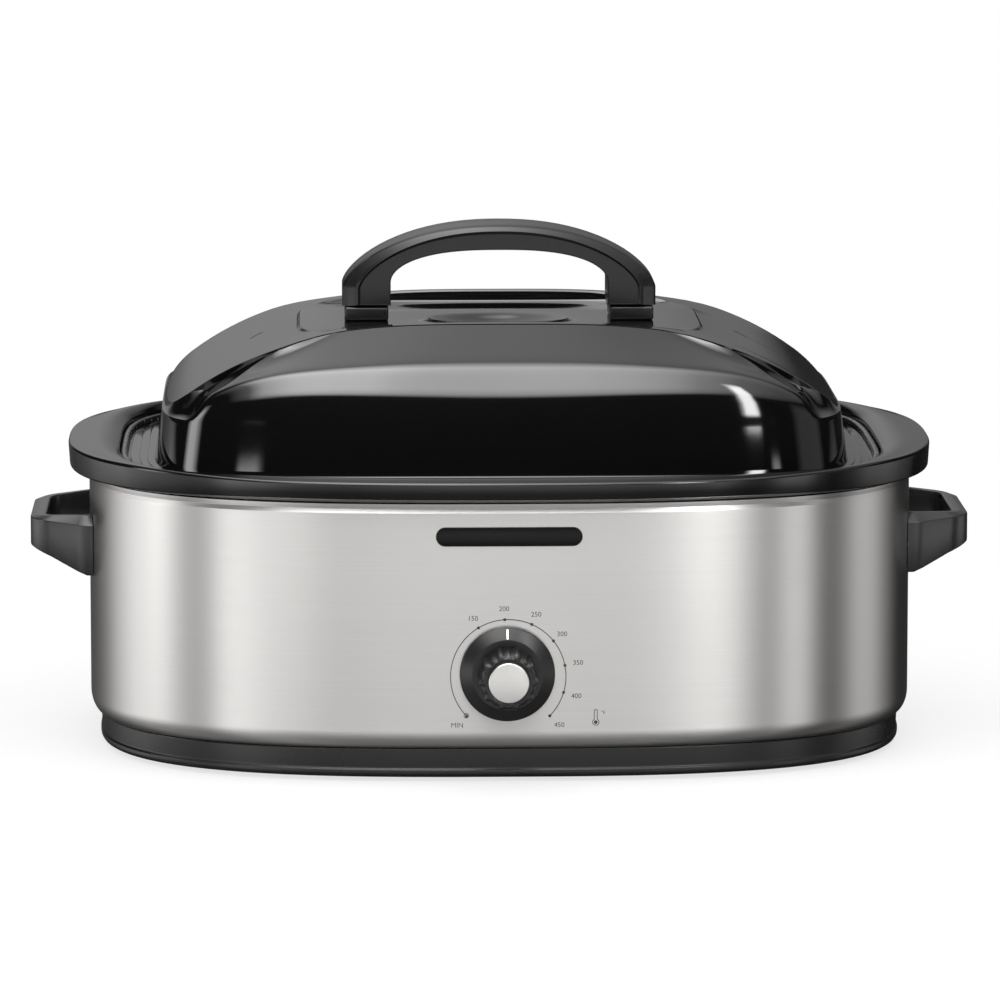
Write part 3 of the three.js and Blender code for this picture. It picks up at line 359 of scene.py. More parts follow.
def brushedSteel():
    steel = newFinish("brushedSteel")
    grain = steel.noise(steelLook["grainScale"], 5.0, 0.7, steelLook["grainStretch"])
    cloud = steel.noise(steelLook["cloudScale"])
    share = steelLook["cloudShare"]
    tone = steel.blend(grain * (1 - share) + cloud * share, steelLook["deep"], steelLook["pale"])
    return steel.surface({
        "Base Color": tone,
        "Metallic": 1.0,
        "Roughness": steelLook["roughness"] + grain * steelLook["wear"],
        "Anisotropic": steelLook["anisotropy"],
        "Anisotropic Rotation": steelLook["anisotropyTurn"],
        "Normal": steel.bump(grain, steelLook["grainDepth"], steelLook["grainStrength"]),
    })


# Black pieces have a fine grain, and a haze that lifts the tone and the roughness
blackLooks = {
    "gloss": {"grainScale": 70.0, "strength": 0.5, "hazeScale": 9.0, "paler": 1.5, "wear": 0.03},
    "moulded": {"grainScale": 900.0, "strength": 0.6, "hazeScale": 14.0, "paler": 1.35, "wear": 0.08},
}


def blackFinish(name, kind, tone, roughness, depth, shine=0.5):
    look = blackLooks[kind]
    black = newFinish(name)
    grain = black.noise(look["grainScale"])
    haze = black.noise(look["hazeScale"], 3.0, 0.6)
    return black.surface({
        "Base Color": black.blend(haze, tone, tone * look["paler"]),
        "Roughness": roughness + haze * look["wear"],
        "Specular IOR Level": shine,
        "Normal": black.bump(grain, depth, look["strength"]),
    })


enamelLook = {
    "ground": (0.012, 0.012, 0.014),
    "fleck": (0.30, 0.31, 0.33),
    "fleckScale": 260.0,
    "fleckSize": (0.13, 0.2),
    "roughness": 0.14,
    "wear": 0.06,
    "peelScale": 80.0,
    "peelDepth": 0.06 * mm,
    "peelStrength": 0.5,
}


def speckledEnamel():
    enamel = newFinish("speckledEnamel")
    spots = enamel.node("ShaderNodeTexCoord", output="Object")
    cells = enamel.node("ShaderNodeTexVoronoi", {}, {
        "Vector": spots, "Scale": enamelLook["fleckScale"]}, "Distance")
    core, edge = enamelLook["fleckSize"]
    fleck = enamel.ramp(cells, [(0.0, 1.0), (core, 1.0), (edge, 0.0), (1.0, 0.0)])
    peel = enamel.noise(enamelLook["peelScale"])
    return enamel.surface({
        "Base Color": enamel.blend(fleck, enamelLook["ground"], enamelLook["fleck"]),
        "Roughness": enamelLook["roughness"] + peel * enamelLook["wear"],
        "Normal": enamel.bump(peel, enamelLook["peelDepth"], enamelLook["peelStrength"]),
    })


# Bare metals and matt coats have one grain for tone, roughness and relief
grainLooks = {
    "metal": {"metallic": 1.0, "paler": 1.12, "wear": 0.12, "strength": 0.3},
    "matt": {"metallic": 0.0, "paler": 1.25, "wear": 0.1, "strength": 0.6},
}
palest = 0.95


def grainedFinish(name, kind, tone, roughness, stretch=(1, 1, 1), scale=60.0, depth=0.05 * mm):
    look = grainLooks[kind]
    grained = newFinish(name)
    grain = grained.noise(scale, 4.0, 0.6, stretch)
    pale = tuple(min(part * look["paler"], palest) for part in tone)
    return grained.surface({
        "Base Color": grained.blend(grain, tone, pale),
        "Metallic": look["metallic"],
        "Roughness": roughness + grain * look["wear"],
        "Normal": grained.bump(grain, depth, look["strength"]),
    })


bodySteel = brushedSteel()
lidEnamel = blackFinish("lidEnamel", "gloss", 0.003, 0.04, 0.02 * mm, 0.75)
rimGloss = blackFinish("rimGloss", "gloss", 0.004, 0.10, 0.02 * mm)
badgeGloss = blackFinish("badgeGloss", "gloss", 0.004, 0.15, 0.01 * mm, 0.15)
handlePlastic = blackFinish("handlePlastic", "moulded", 0.013, 0.20, 0.03 * mm)
archPlastic = blackFinish("archPlastic", "moulded", 0.008, 0.22, 0.03 * mm, 0.4)
basePlastic = blackFinish("basePlastic", "moulded", 0.010, 0.24, 0.03 * mm, 0.4)
knobPlastic = blackFinish("knobPlastic", "moulded", 0.010, 0.26, 0.03 * mm, 0.4)
panEnamel = speckledEnamel()
rackChrome = grainedFinish("rackChrome", "metal", (0.62, 0.63, 0.64), 0.10)
bareSteel = grainedFinish("bareSteel", "metal", (0.52, 0.53, 0.55), 0.32)
capSteel = grainedFinish("capSteel", "metal", (0.74, 0.73, 0.71), 0.30, (1, 1, 12))
aluminised = grainedFinish("aluminised", "metal", (0.62, 0.63, 0.64), 0.38)
heaterFoil = grainedFinish("heaterFoil", "metal", (0.42, 0.39, 0.33), 0.45, (1, 1, 8))
feltBlanket = grainedFinish("feltBlanket", "matt", (0.74, 0.69, 0.56), 0.85, (1, 1, 3), 240.0, 0.8 * mm)
mouldedBoard = grainedFinish("mouldedBoard", "matt", (0.68, 0.64, 0.56), 0.5, scale=180.0)
softRubber = grainedFinish("softRubber", "matt", (0.013, 0.013, 0.013), 0.62, scale=420.0)
printInk = grainedFinish("printInk", "matt", (0.028, 0.027, 0.026), 0.5, scale=300.0, depth=0.01 * mm)
print("finishes are mixed")


# Body wrap: sheet steel, curled in at the bottom and rolled over at the top

wrap = {
    "wall": 0.8 * mm,
    "bottom": wrapLow.z,
    "top": wrapHigh.z,
    "curl": 6 * mm,
    "curlHeight": 11 * mm,
    "curlSteps": 8,
    "joggle": 0.95 * mm,
    "joggleFade": (150 * mm, 215 * mm),
    "joggleDrop": 1.5 * mm,
    "joggleRise": 1.1 * mm,
    "neckRise": 4.1 * mm,
    "neckFlare": 0.6 * mm,
    "neckStart": 3.75 * mm,
    "insideDrop": 1.8 * mm,
    "insideRise": 0.77 * mm,
    "bend": 0.5 * mm,
    "outsideBend": 0.8 * mm,
    "lip": 0.1 * mm,
}


# The neck steps in by the joggle at the front and the back, and less towards the sides
def neckRing(offset, height):
    rise = (height - wrap["top"] + wrap["joggleDrop"]) / (wrap["joggleDrop"] + wrap["joggleRise"])
    outward = wrap["joggle"] * min(max(rise, 0), 1)
    spots = []
    for stepped, plain in zip(bodyRing(offset, height), bodyRing(offset + outward, height)):
        spots.append(stepped.lerp(plain, eased(abs(stepped.x), *wrap["joggleFade"])))
    return spots


def makeBodyWrap():
    wall, top, joggle = wrap["wall"], wrap["top"], wrap["joggle"]
    outside = [Vector((wrap["curl"] * (sine - 1), wrap["bottom"] + wrap["curlHeight"] * (1 - cosine)))
               for sine, cosine in quarterCircle(wrap["curlSteps"])]
    inside = [spot - Vector((wall, 0)) for spot in outside]
    start, neck = top - wrap["neckStart"], top + wrap["neckRise"]
    flare = wrap["neckFlare"] - joggle
    upper = rounded([
        (0, start, 0),
        (0, top - wrap["joggleDrop"], wrap["outsideBend"]),
        (-joggle, top + wrap["joggleRise"], wrap["bend"]),
        (flare, neck, wrap["lip"]),
        (flare - wall, neck, wrap["lip"]),
        (-joggle - wall, top + wrap["insideRise"], wrap["bend"]),
        (-wall, top - wrap["insideDrop"], wrap["bend"]),
        (-wall, start, 0),
    ])
    rings = [bodyRing(spot.x, spot.y) for spot in outside]
    rings += [neckRing(spot.x, spot.y) for spot in upper]
    rings += [bodyRing(spot.x, spot.y) for spot in inside[::-1]]
    piece = drawRings("bodyWrap", rings, "hoop", 50)
    finishPiece(piece, "base", "brushed_steel", bodySteel, "body_wrap")


makeBodyWrap()


# Rim collar: a broad black moulding that carries the pan

rim = {
    "overhangSide": 13 * mm,
    "overhangFront": 15 * mm,
    "squareness": 2.6,
    "edgeHeight": 183.5 * mm,
    "crestHeight": 188 * mm,
    "frontCrest": 185.2 * mm,
    "crestRise": (-160 * mm, -50 * mm),
    "sideRise": 2.5 * mm,
    "sideDrop": 2 * mm,
    "sideSpan": (130 * mm, 240 * mm),
    "face": 9.9 * mm,
    "faceLean": 0.9 * mm,
    "edgeRadius": 1.5 * mm,
    "innerHalfWidth": 234.8 * mm,
    "innerHalfDepth": 184.8 * mm,
    "innerRadius": 1.5 * mm,
    "ledge": 8 * mm,
    "ledgeHeight": 174.5 * mm,
    "ledgeThickness": 2.5 * mm,
    "legHeight": 10 * mm,
    "legWall": 2 * mm,
    "crownSteps": 14,
    "crownPower": 0.8,
    "foot": wrap["top"] + wrap["neckRise"] + 0.2 * mm,
}


def crestHeight(y):
    return mix(rim["frontCrest"], rim["crestHeight"], eased(y, *rim["crestRise"]))


def sideShare(x):
    return eased(abs(x), *rim["sideSpan"])


def makeRimCollar():
    faceBottom = rim["edgeHeight"] - rim["face"]

    def outerRing(inset, level):
        upper = (level - faceBottom) / rim["face"]

        def height(x, y):
            return level + sideShare(x) * mix(-rim["sideDrop"], rim["sideRise"], upper)
        return ring(plan["halfWidth"] + rim["overhangSide"] - inset,
                    plan["halfDepth"] + rim["overhangFront"] - inset, rim["squareness"], height)

    def innerRing(inset, height):
        return ring(rim["innerHalfWidth"] - inset, rim["innerHalfDepth"] - inset,
                    plan["rimSquareness"], height)

    outer = rounded([
        (rim["overhangSide"], rim["foot"], 0),
        (rim["faceLean"], faceBottom, 0.8 * mm),
        (0, rim["edgeHeight"], rim["edgeRadius"]),
        (rim["edgeRadius"] * 3, rim["edgeHeight"] + 0.6 * mm, 0),
    ], steps=5)
    neck = wrap["neckFlare"] - wrap["joggle"]
    rings = [bodyRing(neck, rim["foot"])]
    rings += [outerRing(spot.x, spot.y) for spot in outer[1:-1]]
    start = outerRing(rim["edgeRadius"], rim["edgeHeight"])
    end = innerRing(0, rim["edgeHeight"])
    for step in range(1, rim["crownSteps"]):
        share = step / rim["crownSteps"]
        rise = math.sin(math.pi * share) ** rim["crownPower"]

        def crown(x, y, share=share, rise=rise):
            edge = rim["edgeHeight"] + rim["sideRise"] * sideShare(x) * (1 - share)
            return mix(edge, max(crestHeight(y), edge), rise)
        rings.append(between(start, end, share, crown))
    inner = rounded([
        (-1 * mm, rim["edgeHeight"] + 1 * mm, 0),
        (0, rim["edgeHeight"], rim["innerRadius"]),
        (0.6 * mm, rim["ledgeHeight"], 1 * mm),
        (rim["ledge"], rim["ledgeHeight"], 0.8 * mm),
        (rim["ledge"], rim["ledgeHeight"] - rim["ledgeThickness"], 0),
    ], steps=4)
    rings += [innerRing(spot.x, spot.y) for spot in inner[1:]]
    under = rim["ledgeHeight"] - rim["ledgeThickness"]
    leg = -wrap["joggle"] - wrap["wall"] - 0.3 * mm
    rings += [
        bodyRing(leg - rim["legWall"], under),
        bodyRing(leg - rim["legWall"], rim["foot"] - rim["legHeight"]),
        bodyRing(leg, rim["foot"] - rim["legHeight"]),
        bodyRing(leg, rim["foot"]),
    ]
    piece = drawRings("rimCollar", rings, "hoop", 40)
    finishPiece(piece, "base", "rim_black", rimGloss, "rim_collar")


makeRimCollar()
print("wrap and collar are done")


# Base tray: a black skirt with a lip round its foot, closed by a floor

base = {
    "offset": -6 * mm,
    "bottom": 2.5 * mm,
    "top": 20.5 * mm,
    "wall": 3.5 * mm,
    "radius": 2.6 * mm,
    "lipHeight": 4.6 * mm,
    "lipStep": 0.9 * mm,
    "floorUnder": 6.3 * mm,
    "floorTop": 8.3 * mm,
    "tuck": 1.1 * mm,
    "tuckHeight": 9 * mm,
    "tuckWall": 2 * mm,
}


def makeBaseTray():
    offset, top, lip = base["offset"], base["top"], base["bottom"] + base["lipHeight"]
    step = base["lipStep"]
    tuck = offset - base["tuck"]
    profile = rounded([
        (offset - base["wall"], base["floorUnder"], 0),
        (offset - base["wall"], base["bottom"], 0.6 * mm),
        (offset, base["bottom"], base["radius"]),
        (offset, lip, 0.7 * mm),
        (offset - step, lip + step, 0.7 * mm),
        (offset - step, lip + step * 2, 0.7 * mm),
        (offset - step * 0.3, top - step, 1.2 * mm),
        (offset - step, top, 0.4 * mm),
        (tuck, top, 0),
        (tuck, top + base["tuckHeight"], 0.5 * mm),
        (tuck - base["tuckWall"], top + base["tuckHeight"], 0.5 * mm),
        (tuck - base["tuckWall"], base["floorTop"], 0),
    ], steps=4)
    rings = [bodyRing(spot.x, spot.y) for spot in profile]
    piece = drawRings("baseTray", rings, "filled", 40)
    finishPiece(piece, "base", "base_black", basePlastic, "base_tray")


makeBaseTray()

foot = {
    "corners": [(0.2, 0, 0), (9.6, 0, 1.2), (12, 2.2, 1.4), (12, 6, 0.4), (3.6, 6, 0), (3.6, 9.3, 0.5),
                (0.2, 9.3, 0)],
    "sides": 40,
}


def makeFeet():
    for corner in ("front_left", "front_right", "rear_left", "rear_right"):
        low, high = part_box("foot_" + corner)
        centre = Vector(((low.x + high.x) / 2, (low.y + high.y) / 2, 0))
        rings = spunRings(foot["corners"], centre, Vector((0, 0, 1)), foot["sides"], 3)
        end, side = corner.split("_")
        piece = drawRings("foot" + end.capitalize() + side.capitalize(), rings, "point", 40)
        finishPiece(piece, "base", "soft_rubber", softRubber, "foot_" + corner)


makeFeet()
print("base and feet are done")


# Inner well and insert pan

well = {
    "wall": 1 * mm,
    "bottom": 31 * mm,
    "top": 175.8 * mm,
    "flangeBottom": 174.8 * mm,
    "topHalfWidth": 225 * mm,
    "topHalfDepth": 175 * mm,
    "draftSide": 11 * mm,
    "draftFront": 12 * mm,
    "footRadius": 16 * mm,
    "flange": 8 * mm,
}


def bowlRings(shape, inset, drop):
    wide = shape["topHalfWidth"] - shape["draftSide"] - inset
    deep = shape["topHalfDepth"] - shape["draftFront"] - inset
    rings = []
    for sine, cosine in quarterCircle(plan["bowlSteps"]):
        pull = shape["footRadius"] * (1 - sine)
        height = shape["bottom"] + shape["footRadius"] * (1 - cosine) + drop
        rings.append(ring(wide - pull, deep - pull, shape["squareness"], height))
    return rings


def makeInnerWell():
    shape = dict(well, squareness=plan["wellSquareness"])
    wide, deep = well["topHalfWidth"], well["topHalfDepth"]
    square = plan["wellSquareness"]
    flange = [ring(wide + well["flange"], deep + well["flange"], plan["rimSquareness"], height)
              for height in (well["flangeBottom"], well["top"])]
    rings = bowlRings(shape, 0, 0)
    rings += [ring(wide, deep, square, well["flangeBottom"])] + flange
    rings += [ring(wide - well["wall"], deep - well["wall"], square, well["top"])]
    rings += bowlRings(shape, well["wall"], well["wall"])[::-1]
    piece = drawRings("innerWell", rings, "filled", 40)
    finishPiece(piece, "base", "aluminised", aluminised, "inner_well")


makeInnerWell()

pan = {
    "wall": 1.2 * mm,
    "bottom": 56 * mm,
    "lipBottom": 176.1 * mm,
    "topHalfWidth": 209 * mm,
    "topHalfDepth": 161 * mm,
    "draftSide": 11 * mm,
    "draftFront": 11 * mm,
    "footRadius": 16 * mm,
    "lipSide": 25 * mm,
    "lipFront": 23 * mm,
    "beadWidth": 4.2 * mm,
    "beadHeight": 4.6 * mm,
    "beadBend": 1.7 * mm,
    "beadEdge": 0.5 * mm,
    "shoulder": 2.5 * mm,
    # Outwards and below the lip, each as a share of the shoulder
    "shoulderLine": ((-0.12, 1), (0.3, 0.25), (1, 0)),
}


def makeInsertPan():
    shape = dict(pan, squareness=plan["panSquareness"])
    wide, deep, square = pan["topHalfWidth"], pan["topHalfDepth"], plan["panSquareness"]
    low = pan["lipBottom"]
    high = low + pan["wall"]
    bead, crest = pan["beadWidth"], high + pan["beadHeight"]
    shoulder = pan["shoulder"]

    def lipRing(offset, height):
        return ring(wide + pan["lipSide"] + offset, deep + pan["lipFront"] + offset,
                    plan["rimSquareness"], height)

    beadProfile = rounded([
        (-bead * 2, high, 0),
        (-bead, high, pan["beadEdge"]),
        (-bead + 0.2 * mm, crest, pan["beadBend"]),
        (0, crest, pan["beadBend"]),
        (0, low, pan["beadEdge"]),
        (-bead / 2, low, 0),
    ], steps=3)
    rings = bowlRings(shape, 0, 0)
    for out, down in pan["shoulderLine"]:
        rings.append(ring(wide + shoulder * out, deep + shoulder * out, square, high - shoulder * down))
    rings += [lipRing(spot.x, spot.y) for spot in beadProfile]
    rings += [ring(wide + pan["wall"] + shoulder, deep + pan["wall"] + shoulder, square, low),
              ring(wide + pan["wall"], deep + pan["wall"], square, low - shoulder)]
    rings += bowlRings(shape, -pan["wall"], -pan["wall"])[::-1]
    piece = drawRings("insertPan", rings, "filled", 40)
    finishPiece(piece, "insert_pan", "pan_enamel", panEnamel, "insert_pan")


makeInsertPan()
print("well and pan are done")


# Lid: stepped flange, leaning wall and an arched crown with two long creases, a sunk panel and a dish

lid = {
    "wall": 1.2 * mm,
    "flangeBottom": 177.6 * mm,
    "halfWidth": 212 * mm,
    "halfDepth": 164 * mm,
    "lean": 4.1 * mm,
    "flangeSide": 16 * mm,
    "flangeFront": 15 * mm,
    "stepRise": 0.9 * mm,
    "stepWidth": 5 * mm,
    # Outwards as a share of the flange, and upwards as a share of a step or of the sheet
    "stepEdge": ((0.01, 0.3), (0, 0.8), (-0.04, 1)),
    "stepFoot": ((0.1, 1), (0.03, 1.12)),
    "flangeEdge": ((0, 0.35), (-0.02, 1)),
    "flangeFoot": ((0.1, 1), (0.02, 1.3)),
    "shoulderHeight": 212 * mm,
    "wallSteps": 12,
    "wallBow": 0.1,
    "wallFoot": ((0.5 * mm, 0.4 * mm), (0, 1.6 * mm)),
    "crownRise": 53.5 * mm,
    "archPower": 3.4,
    "creaseHalfDepth": 93 * mm,
    "creaseHalfWidth": 205.5 * mm,
    "creaseSpread": 18 * mm,
    "creaseSpan": (95 * mm, 145 * mm),
    "creaseTipPower": 40,
    "creaseOffsets": (0.875 * mm, -0.7 * mm),
    "creaseHalvings": 28,
    "riser": 0.6 * mm,
    "riserGrowth": 5 * mm,
    "riserSpan": (110 * mm, 185 * mm),
    "riserPower": 1.5,
    "riserEnds": (20 * mm, 70 * mm),
    "riserLean": -0.1,
    "riserShares": (0.92, 0.08),
    "roundDrop": 31 * mm,
    "roundRoom": 0.94,
    "roundReach": 66 * mm,
    "roundLeast": (0.1 * mm, 5 * mm),
    "roundSlope": 6.25,
    "cornerSpan": (175 * mm, 192 * mm),
    "sides": 360,
    "outsideSteps": (24, 8, 14),
    "insideSteps": (10, 3, 5),
    "stepCrowding": 1.7,
    "flankEnds": (0.965, 0.99),
    "topShares": (0.04, 0.12, 0.35, 0.7),
    "floorShares": (0.3, 0.65, 1),
    "panelHalfWidth": 124 * mm,
    "panelHalfDepth": 85 * mm,
    "panelHeight": 258.5 * mm,
    "panelSlope": 1.2 * mm,
    "dishHalfWidth": 46 * mm,
    "dishHalfDepth": 26 * mm,
    "dishDepth": 6 * mm,
    "ventSize": (2.6 * mm, 10 * mm, 53.5 * mm),
    "ventX": 150 * mm,
    "ventHeight": 240 * mm,
    "ventTurn": 60,
    "ventEdge": 1.2 * mm,
}


def archHeight(x):
    along = min(abs(x) / (lid["halfWidth"] - lid["lean"]), 1)
    return lid["crownRise"] * (1 - along ** lid["archPower"])


def creaseReach(x):
    tip = max(1 - abs(x / lid["creaseHalfWidth"]) ** lid["creaseTipPower"], 0) ** 0.5
    return (lid["creaseHalfDepth"] + lid["creaseSpread"] * eased(abs(x), *lid["creaseSpan"])) * tip


def cornerShare(x):
    return eased(abs(x), *lid["cornerSpan"])


# The small riser between the top and the flanks, which grows and then runs out into the corners
def riserHeight(x, y):
    growth = eased(abs(x), *lid["riserSpan"]) ** lid["riserPower"]
    rise = min(lid["riser"] + lid["riserGrowth"] * growth, archHeight(x) / 2)
    return rise * (1 - cornerShare(x)) * eased(abs(y), *lid["riserEnds"])


# Each point of the crease is found by halving along its own line from the middle
def creaseRing(offset, riserShare, shrink):
    spots = []
    for side in range(lid["sides"]):
        turn = 2 * math.pi * (side + 0.5) / lid["sides"]
        near, far = 0.0, 1.5
        for halving in range(lid["creaseHalvings"]):
            reach = (near + far) / 2
            x = (lid["halfWidth"] - lid["lean"]) * reach * math.cos(turn)
            y = (lid["halfDepth"] - lid["lean"]) * reach * math.sin(turn)
            push = offset + riserHeight(x, y) * riserShare * lid["riserLean"]
            half = lid["creaseHalfWidth"] + push
            if abs(x) < half and abs(y) < creaseReach(x * lid["creaseHalfWidth"] / half) + push:
                near = reach
            else:
                far = reach
        z = lid["shoulderHeight"] - shrink + archHeight(x) - riserHeight(x, y) * riserShare
        spots.append(Vector((x, y + middleY, z)))
    return spots


# A flank falls from the crease in a straight line, then rounds over into the wall
def flankRing(edge, crease, share, shrink):
    leastRoom, leastReach = lid["roundLeast"]
    spots = []
    for start, end in zip(edge, crease):
        spot = start.lerp(end, share)
        arch, rise = archHeight(spot.x), riserHeight(spot.x, spot.y - middleY)
        room = max((arch - rise) * lid["roundRoom"] * (1 - cornerShare(spot.x)), leastRoom)
        drop = (lid["roundDrop"] ** -4 + room ** -4) ** -0.25
        reach = max(lid["roundReach"] * (drop / lid["roundDrop"]) ** 2, leastReach)
        inwards = math.hypot(spot.x - start.x, spot.y - start.y)
        fall = rise + (arch - drop - rise) * (1 - share)
        fall += drop * max(1 - inwards / reach, 0) ** (lid["roundSlope"] * reach / drop)
        spot.z = lid["shoulderHeight"] - shrink + max(arch - fall, 0)
        spots.append(spot)
    return spots


def lidRing(halfWidth, halfDepth, squareness, height):
    return ring(halfWidth, halfDepth, squareness, height, lid["sides"])


def crownRings(shrink, steps):
    flankSteps, slopeSteps, dishSteps = steps
    square = plan["lidSquareness"]
    slope = lid["panelSlope"]
    wide, deep = lid["panelHalfWidth"] + shrink, lid["panelHalfDepth"] + shrink
    dishWide, dishDeep = lid["dishHalfWidth"], lid["dishHalfDepth"]

    def crown(x, y):
        return lid["shoulderHeight"] - shrink + archHeight(x)

    def panel(x, y):
        across = math.hypot(x / dishWide, y / dishDeep)
        return lid["panelHeight"] - shrink - lid["dishDepth"] * (1 - eased(across ** 2))

    edge = lidRing(lid["halfWidth"] - lid["lean"] - shrink, lid["halfDepth"] - lid["lean"] - shrink,
                   square, 0)
    below, within = lid["creaseOffsets"]
    crease = creaseRing(below - shrink, 1, shrink)
    creaseTop = creaseRing(within - shrink, 0, shrink)
    shares = [(step / flankSteps) ** lid["stepCrowding"] for step in range(flankSteps)]
    rings = [flankRing(edge, crease, share, shrink) for share in shares + list(lid["flankEnds"])]
    riser = [creaseRing(-shrink, share, shrink) for share in lid["riserShares"]]
    rings += [crease, *riser, creaseTop]
    outer = lidRing(wide + slope, deep + slope, square, crown)
    rings += [between(creaseTop, outer, share, crown) for share in lid["topShares"]]
    for step in range(slopeSteps + 1):
        share = step / slopeSteps
        inset = slope * (1 - 2 * share)

        def sunk(x, y, share=share):
            return mix(crown(x, y), panel(x, y), eased(share))
        rings.append(lidRing(wide + inset, deep + inset, square, sunk))
    inner = lidRing(wide - slope, deep - slope, square, 0)
    dish = lidRing(dishWide, dishDeep, 2, 0)
    rings += [between(inner, dish, share, panel) for share in lid["floorShares"]]
    for step in range(1, dishSteps):
        reach = 1 - step / dishSteps
        rings.append(lidRing(dishWide * reach, dishDeep * reach, 2, panel))
    return rings


def wallRing(offset, height):
    return lidRing(lid["halfWidth"] + offset, lid["halfDepth"] + offset, plan["lidSquareness"], height)


def flangeRing(share, offset, height):
    return lidRing(lid["halfWidth"] + lid["flangeSide"] * share + offset,
                   lid["halfDepth"] + lid["flangeFront"] * share + offset,
                   mix(plan["lidSquareness"], plan["rimSquareness"], share), height)


# Shares run from 0 at the wall to 1 at the flange's edge, and two steps lead up to the wall
def flangeRings():
    step = lid["stepWidth"] / lid["flangeSide"]
    rise, wall, low = lid["stepRise"], lid["wall"], lid["flangeBottom"]
    upper, top = low + rise * 2, low + wall
    profile = [(0, -wall, upper), (step, -wall, upper), (step, -wall, low + rise),
               (step * 2, -wall, low + rise), (step * 2, -wall, low), (1, 0, low)]
    profile += [(1 + out, 0, low + wall * up) for out, up in lid["flangeEdge"]]
    profile += [(step * 2 + out, 0, low + wall * up) for out, up in lid["flangeFoot"]]
    profile += [(step * 2 + out, 0, top + rise * up) for out, up in lid["stepEdge"]]
    profile += [(step + out, 0, top + rise * up) for out, up in lid["stepFoot"]]
    profile += [(step + out, 0, top + rise * (1 + up)) for out, up in lid["stepEdge"]]
    profile.append((lid["stepFoot"][0][0], 0, top + rise * 2))
    return [flangeRing(*place) for place in profile]


def makeLidShell():
    wallBottom = lid["flangeBottom"] + lid["wall"] + lid["stepRise"] * 2
    rings = crownRings(lid["wall"], lid["insideSteps"])[::-1] + flangeRings()
    rings += [wallRing(out, wallBottom + up) for out, up in lid["wallFoot"]]
    foot = wallBottom + lid["wallFoot"][-1][1]
    for step in range(1, lid["wallSteps"]):
        share = step / lid["wallSteps"]
        lean = lid["lean"] * share * (1 - lid["wallBow"] * (1 - share))
        rings.append(wallRing(-lean, mix(foot, lid["shoulderHeight"], share)))
    rings += crownRings(0, lid["outsideSteps"])
    piece = drawRings("lidShell", rings, "point", 32)
    for side in (-1, 1):
        cutter = bevelledBlock("ventCutter", (side * lid["ventX"], middleY, lid["ventHeight"]),
                               lid["ventSize"], side * math.radians(lid["ventTurn"]), lid["ventEdge"], 4)
        applyModifier(piece, "BOOLEAN", object=cutter, operation="DIFFERENCE", solver="EXACT")
        bpy.data.objects.remove(cutter)
    finishPiece(piece, "lid", "lid_enamel", lidEnamel, "lid_shell")


makeLidShell()
print("lid is done")


# Lid handle: an arched bar on two feet, with a spacer under each

arch = {
    "halfSpan": 97 * mm,
    "depth": 44 * mm,
    "top": 318 * mm,
    "shoulderHeight": 279 * mm,
    "gapHalfWidth": 67 * mm,
    "gapTop": 302.5 * mm,
    "gapSpring": 282.5 * mm,
    "footHeight": 267.6 * mm,
    "footLift": 0.3,
    "steps": 40,
    "outerPowers": (2.2, 0.66),
    "innerPowers": (2.6, 0.5),
    # In mm from the front or the rear: inwards, then in from the sides, the top and the gap
    "front": [(1.5, 11.6, 6.0, 0.9), (1.5, 11.2, 5.7, 0.7), (0.0, 9.8, 3.9, 0.4),
              (0.0, 9.5, 3.7, 0.4), (1.1, 8.0, 2.7, 0.1), (1.3, 7.7, 2.5, 0.05),
              (2.6, 4.4, 1.5, 0), (4.5, 1.2, 0.6, 0), (8.0, 0, 0, 0)],
    "rear": [(3.0, 0, 0, 0), (0.9, 0.8, 0.5, 0.3), (0, 2.4, 1.6, 1.0)],
}


def archPoints(half, spring, top, powers, steps, turnRound):
    points = []
    for step in range(steps + 1):
        x = math.cos(math.pi * step / steps) * (1 if turnRound else -1)
        rise = (1 - abs(x) ** powers[0]) ** powers[1]
        points.append((x * half, spring + (top - spring) * rise))
    return points


def handleOutline(y, sideways, down, inner):
    half, gap = arch["halfSpan"] - sideways, arch["gapHalfWidth"] + inner
    foot = arch["footHeight"] + down * arch["footLift"]
    outline = [(-half, foot)]
    outline += archPoints(half, arch["shoulderHeight"], arch["top"] - down, arch["outerPowers"],
                          arch["steps"], False)
    outline += [(half, foot), (gap, foot)]
    outline += archPoints(gap, arch["gapSpring"], arch["gapTop"] + inner, arch["innerPowers"],
                          arch["steps"], True)
    outline += [(-gap, foot)]
    return [Vector((x, middleY + y, z)) for x, z in outline]


def makeLidHandle():
    half = arch["depth"] / 2
    rings = []
    for facing, corners in ((-1, arch["front"]), (1, arch["rear"])):
        for inwards, sideways, down, inner in corners:
            rings.append(handleOutline(facing * (half - inwards * mm), sideways * mm, down * mm, inner * mm))
    piece = drawRings("lidHandle", rings, "filled", 30)
    finishPiece(piece, "lid", "handle_black", archPlastic, "lid_handle")


makeLidHandle()

spacer = {"edge": 1.5 * mm, "edgeSteps": 4}


def makeSpacers():
    for side in ("left", "right"):
        low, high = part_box("lid_spacer_" + side)
        piece = bevelledBlock("lidSpacer" + side.capitalize(), (low + high) / 2, high - low, 0,
                              spacer["edge"], spacer["edgeSteps"])
        bpy.ops.object.shade_smooth_by_angle(angle=math.radians(30))
        finishPiece(piece, "lid", "handle_black", knobPlastic, "lid_spacer_" + side)


makeSpacers()
print("lid handle is done")


# Side handles: a bar on two arms that run in to the body

